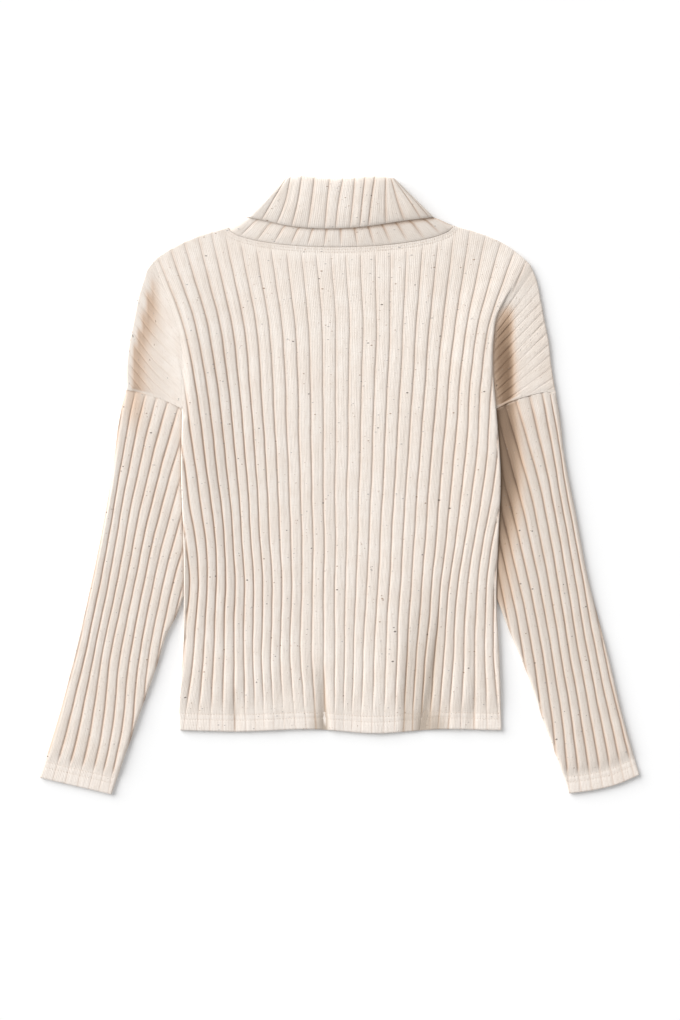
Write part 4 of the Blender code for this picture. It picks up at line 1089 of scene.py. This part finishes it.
class Wire:
    """A node's output. Sums, products and the rest lead it into a new node and give that one's output."""

    def __init__(self, socket):
        self.socket = socket

    def to(self, kind, values, output=0, **settings):
        return new_node(self.socket.id_data, kind, values, output, **settings)

    def math(self, kind, other=0.0, clamp=False):
        return self.to("Math", (self, other), operation=kind, use_clamp=clamp)

    def __add__(self, other):
        return self.math("ADD", other)

    def __sub__(self, other):
        return self.math("SUBTRACT", other)

    def __mul__(self, other):
        return self.math("MULTIPLY", other)

    def __truediv__(self, other):
        return self.math("DIVIDE", other)

    def clamped(self, factor):
        return self.math("MULTIPLY", factor, clamp=True)

    def ramp(self, low, high, to_low=0.0, to_high=1.0):
        return self.to("MapRange", (self, low, high, to_low, to_high), interpolation_type="SMOOTHSTEP")

    def mix(self, a, b):
        return self.to("Mix", {0: self, 6: a, 7: b}, 2, data_type="RGBA")

    def beside(self, y):
        """The vector of this and y."""
        return self.to("CombineXYZ", (self, y))

    def noise(self, scale, detail=2.0, rough=0.5):
        return self.to("TexNoise", {"Vector": self, "Scale": scale, "Detail": detail, "Roughness": rough}, "Fac")


def new_material(name):
    material = bpy.data.materials.new(name)
    material.use_nodes = True
    return material, new_node(material.node_tree, "TexCoord", output="Object")


def finish(material, height, strength, distance, values):
    """Lead the values, and the height as bump, into the material's shader."""
    relief = height.to("Bump", {"Strength": strength, "Distance": distance, "Height": height})
    fill(material.node_tree.nodes["Principled BSDF"], {**values, "Normal": relief})
    return material


CREAM = (0.86, 0.775, 0.70, 1.0)
OAT = (0.76, 0.665, 0.58, 1.0)
PALE = (0.90, 0.83, 0.765, 1.0)
# Painted shade colours: in grooves, in folds from warm to deep, and in creases; then a paler tone for the hem's
# band and the cuffs. The groove shade colour also tints the faintest neps
SHADE = (0.53, 0.39, 0.30, 1.0)
WARM_SHADE = (0.685, 0.485, 0.345, 1.0)
DEEP_SHADE = (0.235, 0.14, 0.08, 1.0)
DULL_SHADE = (0.50, 0.42, 0.345, 1.0)
HEM_TONE = (0.97, 0.90, 0.84, 1.0)
THREAD_DARK, THREAD_PALE = (0.66, 0.55, 0.45, 1.0), (0.84, 0.75, 0.66, 1.0)
NEP_DARK, NEP_BROWN, NEP_GREY = (0.10, 0.075, 0.06, 1.0), (0.33, 0.2, 0.12, 1.0), (0.30, 0.29, 0.28, 1.0)
# Kinds of neps: cells to a millimetre, the share of cells with a nep, its radius in cells, colour and strength
NEPS = (
    (1 / 8.0, 0.2, 0.09, NEP_DARK, 0.85),
    (1 / 6.2, 0.26, 0.1, NEP_BROWN, 0.75),
    (1 / 4.6, 0.36, 0.125, NEP_GREY, 0.5),
    (1 / 3.2, 0.34, 0.15, SHADE, 0.5),
)


def knit_material():
    material, place = new_material("rib_knit")
    rib, along, groove, shade, dull = (
        new_node(material.node_tree, "Attribute", output="Fac", attribute_name=label) for label in LABELS)
    wale, course = rib * WALES, along / COURSE

    # Stitches: two slanting legs in each wale
    from_middle = (wale.math("FRACT") * 2.0 - 1.0).math("ABSOLUTE")
    leg = ((course - from_middle * 0.6) * (2 * math.pi)).math("COSINE") * 0.5 + 0.5
    across = (from_middle * math.pi).math("SINE").math("POWER", 0.6)
    stitch = across * (leg * 0.6 + 0.4)

    # Heather: soft clouds, streaks along the courses and along the ribs, and single fibres. Then painted shade
    # between the stitches' legs, in the grooves, folds and creases, and a paler tone on the hem's band and the
    # cuffs
    clouds, fibres = place.noise(38.0, 3.0, 0.6), place.noise(1500.0, 2.0, 0.7)
    streaks, lengthwise = ((rib * (RIB_WIDTH / wide)).beside(along / high).noise(1.0, 2.0, 0.6)
                           for wide, high in ((7.0, 1.5), (2.2, 17.0)))
    colour = clouds.ramp(0.35, 0.7).mix(CREAM, PALE)
    for amount, tone in (
        (streaks.ramp(0.52, 0.78) * 0.45, OAT),
        (fibres.ramp(0.45, 0.75) * 0.12, OAT),
        (lengthwise.ramp(0.5, 0.72) * 0.5, OAT),
        # painted shade where the stitches' legs part
        ((stitch * -1.0 + 1.0) * 0.24, OAT),
        (groove.clamped(0.78), SHADE),
        (shade.ramp(0.0, 0.8), shade.ramp(0.4, 1.2).mix(WARM_SHADE, DEEP_SHADE)),
        (dull.clamped(1.0), DULL_SHADE),
        (dull.clamped(-1.0), HEM_TONE),
    ):
        colour = amount.mix(colour, tone)

    # Neps: few dark ones, some brown ones and many faint ones, a little wider than high
    stretched = (rib * (RIB_WIDTH / 1.5)).beside(along)
    dots = []
    for scale, share, radius, tone, strength in NEPS:
        away = stretched.to("TexVoronoi", {"Vector": stretched, "Scale": scale}, "Distance")
        random = away.to("SeparateColor", [Wire(away.socket.node.outputs["Color"])])
        size = (Wire(random.socket.node.outputs[1]) * 0.9 + 0.5) * radius
        dots.append((away / size).ramp(0.6, 1.1, 1.0, 0.0) * random.math("LESS_THAN", share))
        colour = (dots[-1] * strength).mix(colour, tone)
    lift = dots[0].math("MAXIMUM", dots[1]).math("MAXIMUM", dots[2]).math("MAXIMUM", dots[3])

    height = stitch * 0.30 + fibres * 0.22 + lift * 0.25 + lengthwise * 0.5
    return finish(material, height, 0.8, 0.0009, {
        "Base Color": colour, "Roughness": 0.92, "Specular IOR Level": 0.25, "Sheen Weight": 0.25,
        "Sheen Roughness": 0.5, "Sheen Tint": (1.0, 0.93, 0.86, 1.0),
    })


def thread_material():
    """Two-ply sewing thread, a little darker than the knit."""
    material, place = new_material("thread")
    colour = place.noise(900.0).ramp(0.35, 0.7).mix(THREAD_DARK, THREAD_PALE)
    return finish(material, place.noise(1500.0), 1.0, 0.0001,
                  {"Base Color": colour, "Roughness": 0.7, "Sheen Weight": 0.2})


# ---------------------------------------------------------------- make the pieces

knit, thread = knit_material(), thread_material()
HEXAGON = np.stack([np.cos(np.arange(6) * math.pi / 3), np.sin(np.arange(6) * math.pi / 3)], axis=-1)
WELL_INSIDE = 9.0  # further from a piece's edge than its roll reaches
# A stitch's section along its length: how far along, how wide, and how high, dipping into the cloth at its ends
STITCH_SECTIONS = ((0.0, 0.35, -0.30), (0.12, 0.8, 0.0), (0.5, 1.0, 0.22), (0.88, 0.8, 0.0), (1.0, 0.35, -0.30))


def sew(name, maker, edges, rows, margin=RIB_MARGIN):
    """Rows of single stitches on a piece's cloth, beside its edges."""
    paths = [part for row in rows for edge in edges for part in clipped(beside(edge, row), maker.outline, margin)]
    points, faces = [], []
    for path in paths:
        run = run_of(path)
        starts = np.arange(0.4, run[-1] - STITCH, STITCH + STITCH_GAP)
        at = (starts[:, None] + STITCH * np.array([section[0] for section in STITCH_SECTIONS])).ravel()
        flat = np.stack([np.interp(at, run, path[:, i]) for i in (0, 1)], axis=-1)
        level = maker.heights(flat, np.full(len(flat), WELL_INSIDE))[0]
        for row, z in zip(flat.reshape(len(starts), -1, 2), level.reshape(len(starts), -1)):
            along = (row[-1] - row[0]) / np.hypot(*(row[-1] - row[0]))
            left = np.array([-along[1], along[0], 0.0])
            base = len(points)
            for place, height, (_, wide, high) in zip(row, z, STITCH_SECTIONS):
                centre = np.array([*place, height + high])
                points += [centre + THREAD / 2 * wide * (a * left + (0, 0, b)) for a, b in HEXAGON]
            last = base + 6 * len(STITCH_SECTIONS) - 6
            for low in range(base, last, 6):
                for i, j in zip(range(6), (1, 2, 3, 4, 5, 0)):
                    faces.append((low + i, low + j, low + 6 + j, low + 6 + i))
            faces += [tuple(base + i for i in range(5, -1, -1)), tuple(last + i for i in range(6))]
    return new_piece(name, points, faces, {}, thread)


def plan_area(outline):
    x, y = outline.T
    return abs(np.dot(x, np.roll(y, -1)) - np.dot(y, np.roll(x, -1))) / 2 * MM * MM


def dress(name, made, node):
    points, faces, known, source = made
    piece = new_piece(name, points, faces, spread(known, points, source), knit)
    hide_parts(node)
    return piece


back_maker = Back()
back = dress("back_knit", back_maker.build(), "back_panel")
hem_thread = sew("hem_stitches", back_maker, [back_maker.hem], STITCH_ROWS)
neck_thread = sew("neck_stitches", back_maker, [back_maker.neck], NECK_ROWS, 2.0)
front = dress("front_knit", build_front(), "front_panel")
collar = dress("collar_knit", build_collar(), "collar")
pieces = [back, front, collar]

for which, *shape in (
    ("left", OUTER_LEFT, INNER_LEFT, CUFF_LEFT, SEAM_LEFT, GROOVES_LEFT),
    ("right", OUTER_RIGHT, INNER_RIGHT, CUFF_RIGHT, SEAM_RIGHT, GROOVES_RIGHT),
):
    maker = Sleeve(which, *shape)
    sleeve = dress(f"{which}_sleeve_knit", maker.build(), f"{which}_sleeve")
    cuff_thread = sew(f"{which}_cuff_stitches", maker, [maker.cuff, maker.cuff[::-1]], STITCH_ROWS)
    2 * plan_area(maker.outline)
    pieces.append(sleeve)

plan_area(back_maker.outline)
plan_area(body_outline(NECK_DROP_FRONT))

for piece in [*pieces, hem_thread, neck_thread, cuff_thread]:
    print(piece.name, sum(len(p.vertices) - 2 for p in piece.data.polygons), "triangles")

# ---------------------------------------------------------------- floor and light

floor_mesh = bpy.data.meshes.new("floor")
floor_mesh.from_pydata([(-6, -6, 0), (6, -6, 0), (6, 6, 0), (-6, 6, 0)], [], [(0, 1, 2, 3)])
floor = bpy.data.objects.new("floor", floor_mesh)
scene.collection.objects.link(floor)
paper = bpy.data.materials.new("paper")
paper.use_nodes = True
fill(paper.node_tree.nodes["Principled BSDF"], {"Base Color": (0.97, 0.97, 0.97, 1), "Roughness": 0.8})
floor_mesh.materials.append(paper)

SUN_HEIGHT, SUN_TURN, SUN_WIDTH = 22, 38, 56  # degrees above the floor, from the left to the top, and across
SKY, FULL = 0.50, 1.05  # how much of the light that falls on flat cloth is even, and how much there is in all
scene.view_settings.view_transform = "Standard"
world = bpy.data.worlds.new("studio")
scene.world = world
world.use_nodes = True
fill(world.node_tree.nodes["Background"], {"Color": (1.0, 1.0, 1.0, 1), "Strength": SKY})

turn, height = math.radians(SUN_TURN), math.radians(SUN_HEIGHT)
sun_data = bpy.data.lights.new("sun", "SUN")
sun_data.angle = math.radians(SUN_WIDTH)
sun_data.energy = (FULL - SKY) * math.pi / math.sin(height)
sun = bpy.data.objects.new("sun", sun_data)
sun_from = Vector((-math.cos(turn), math.sin(turn), math.tan(height)))
sun.rotation_euler = sun_from.to_track_quat("Z", "Y").to_euler()
scene.collection.objects.link(sun)
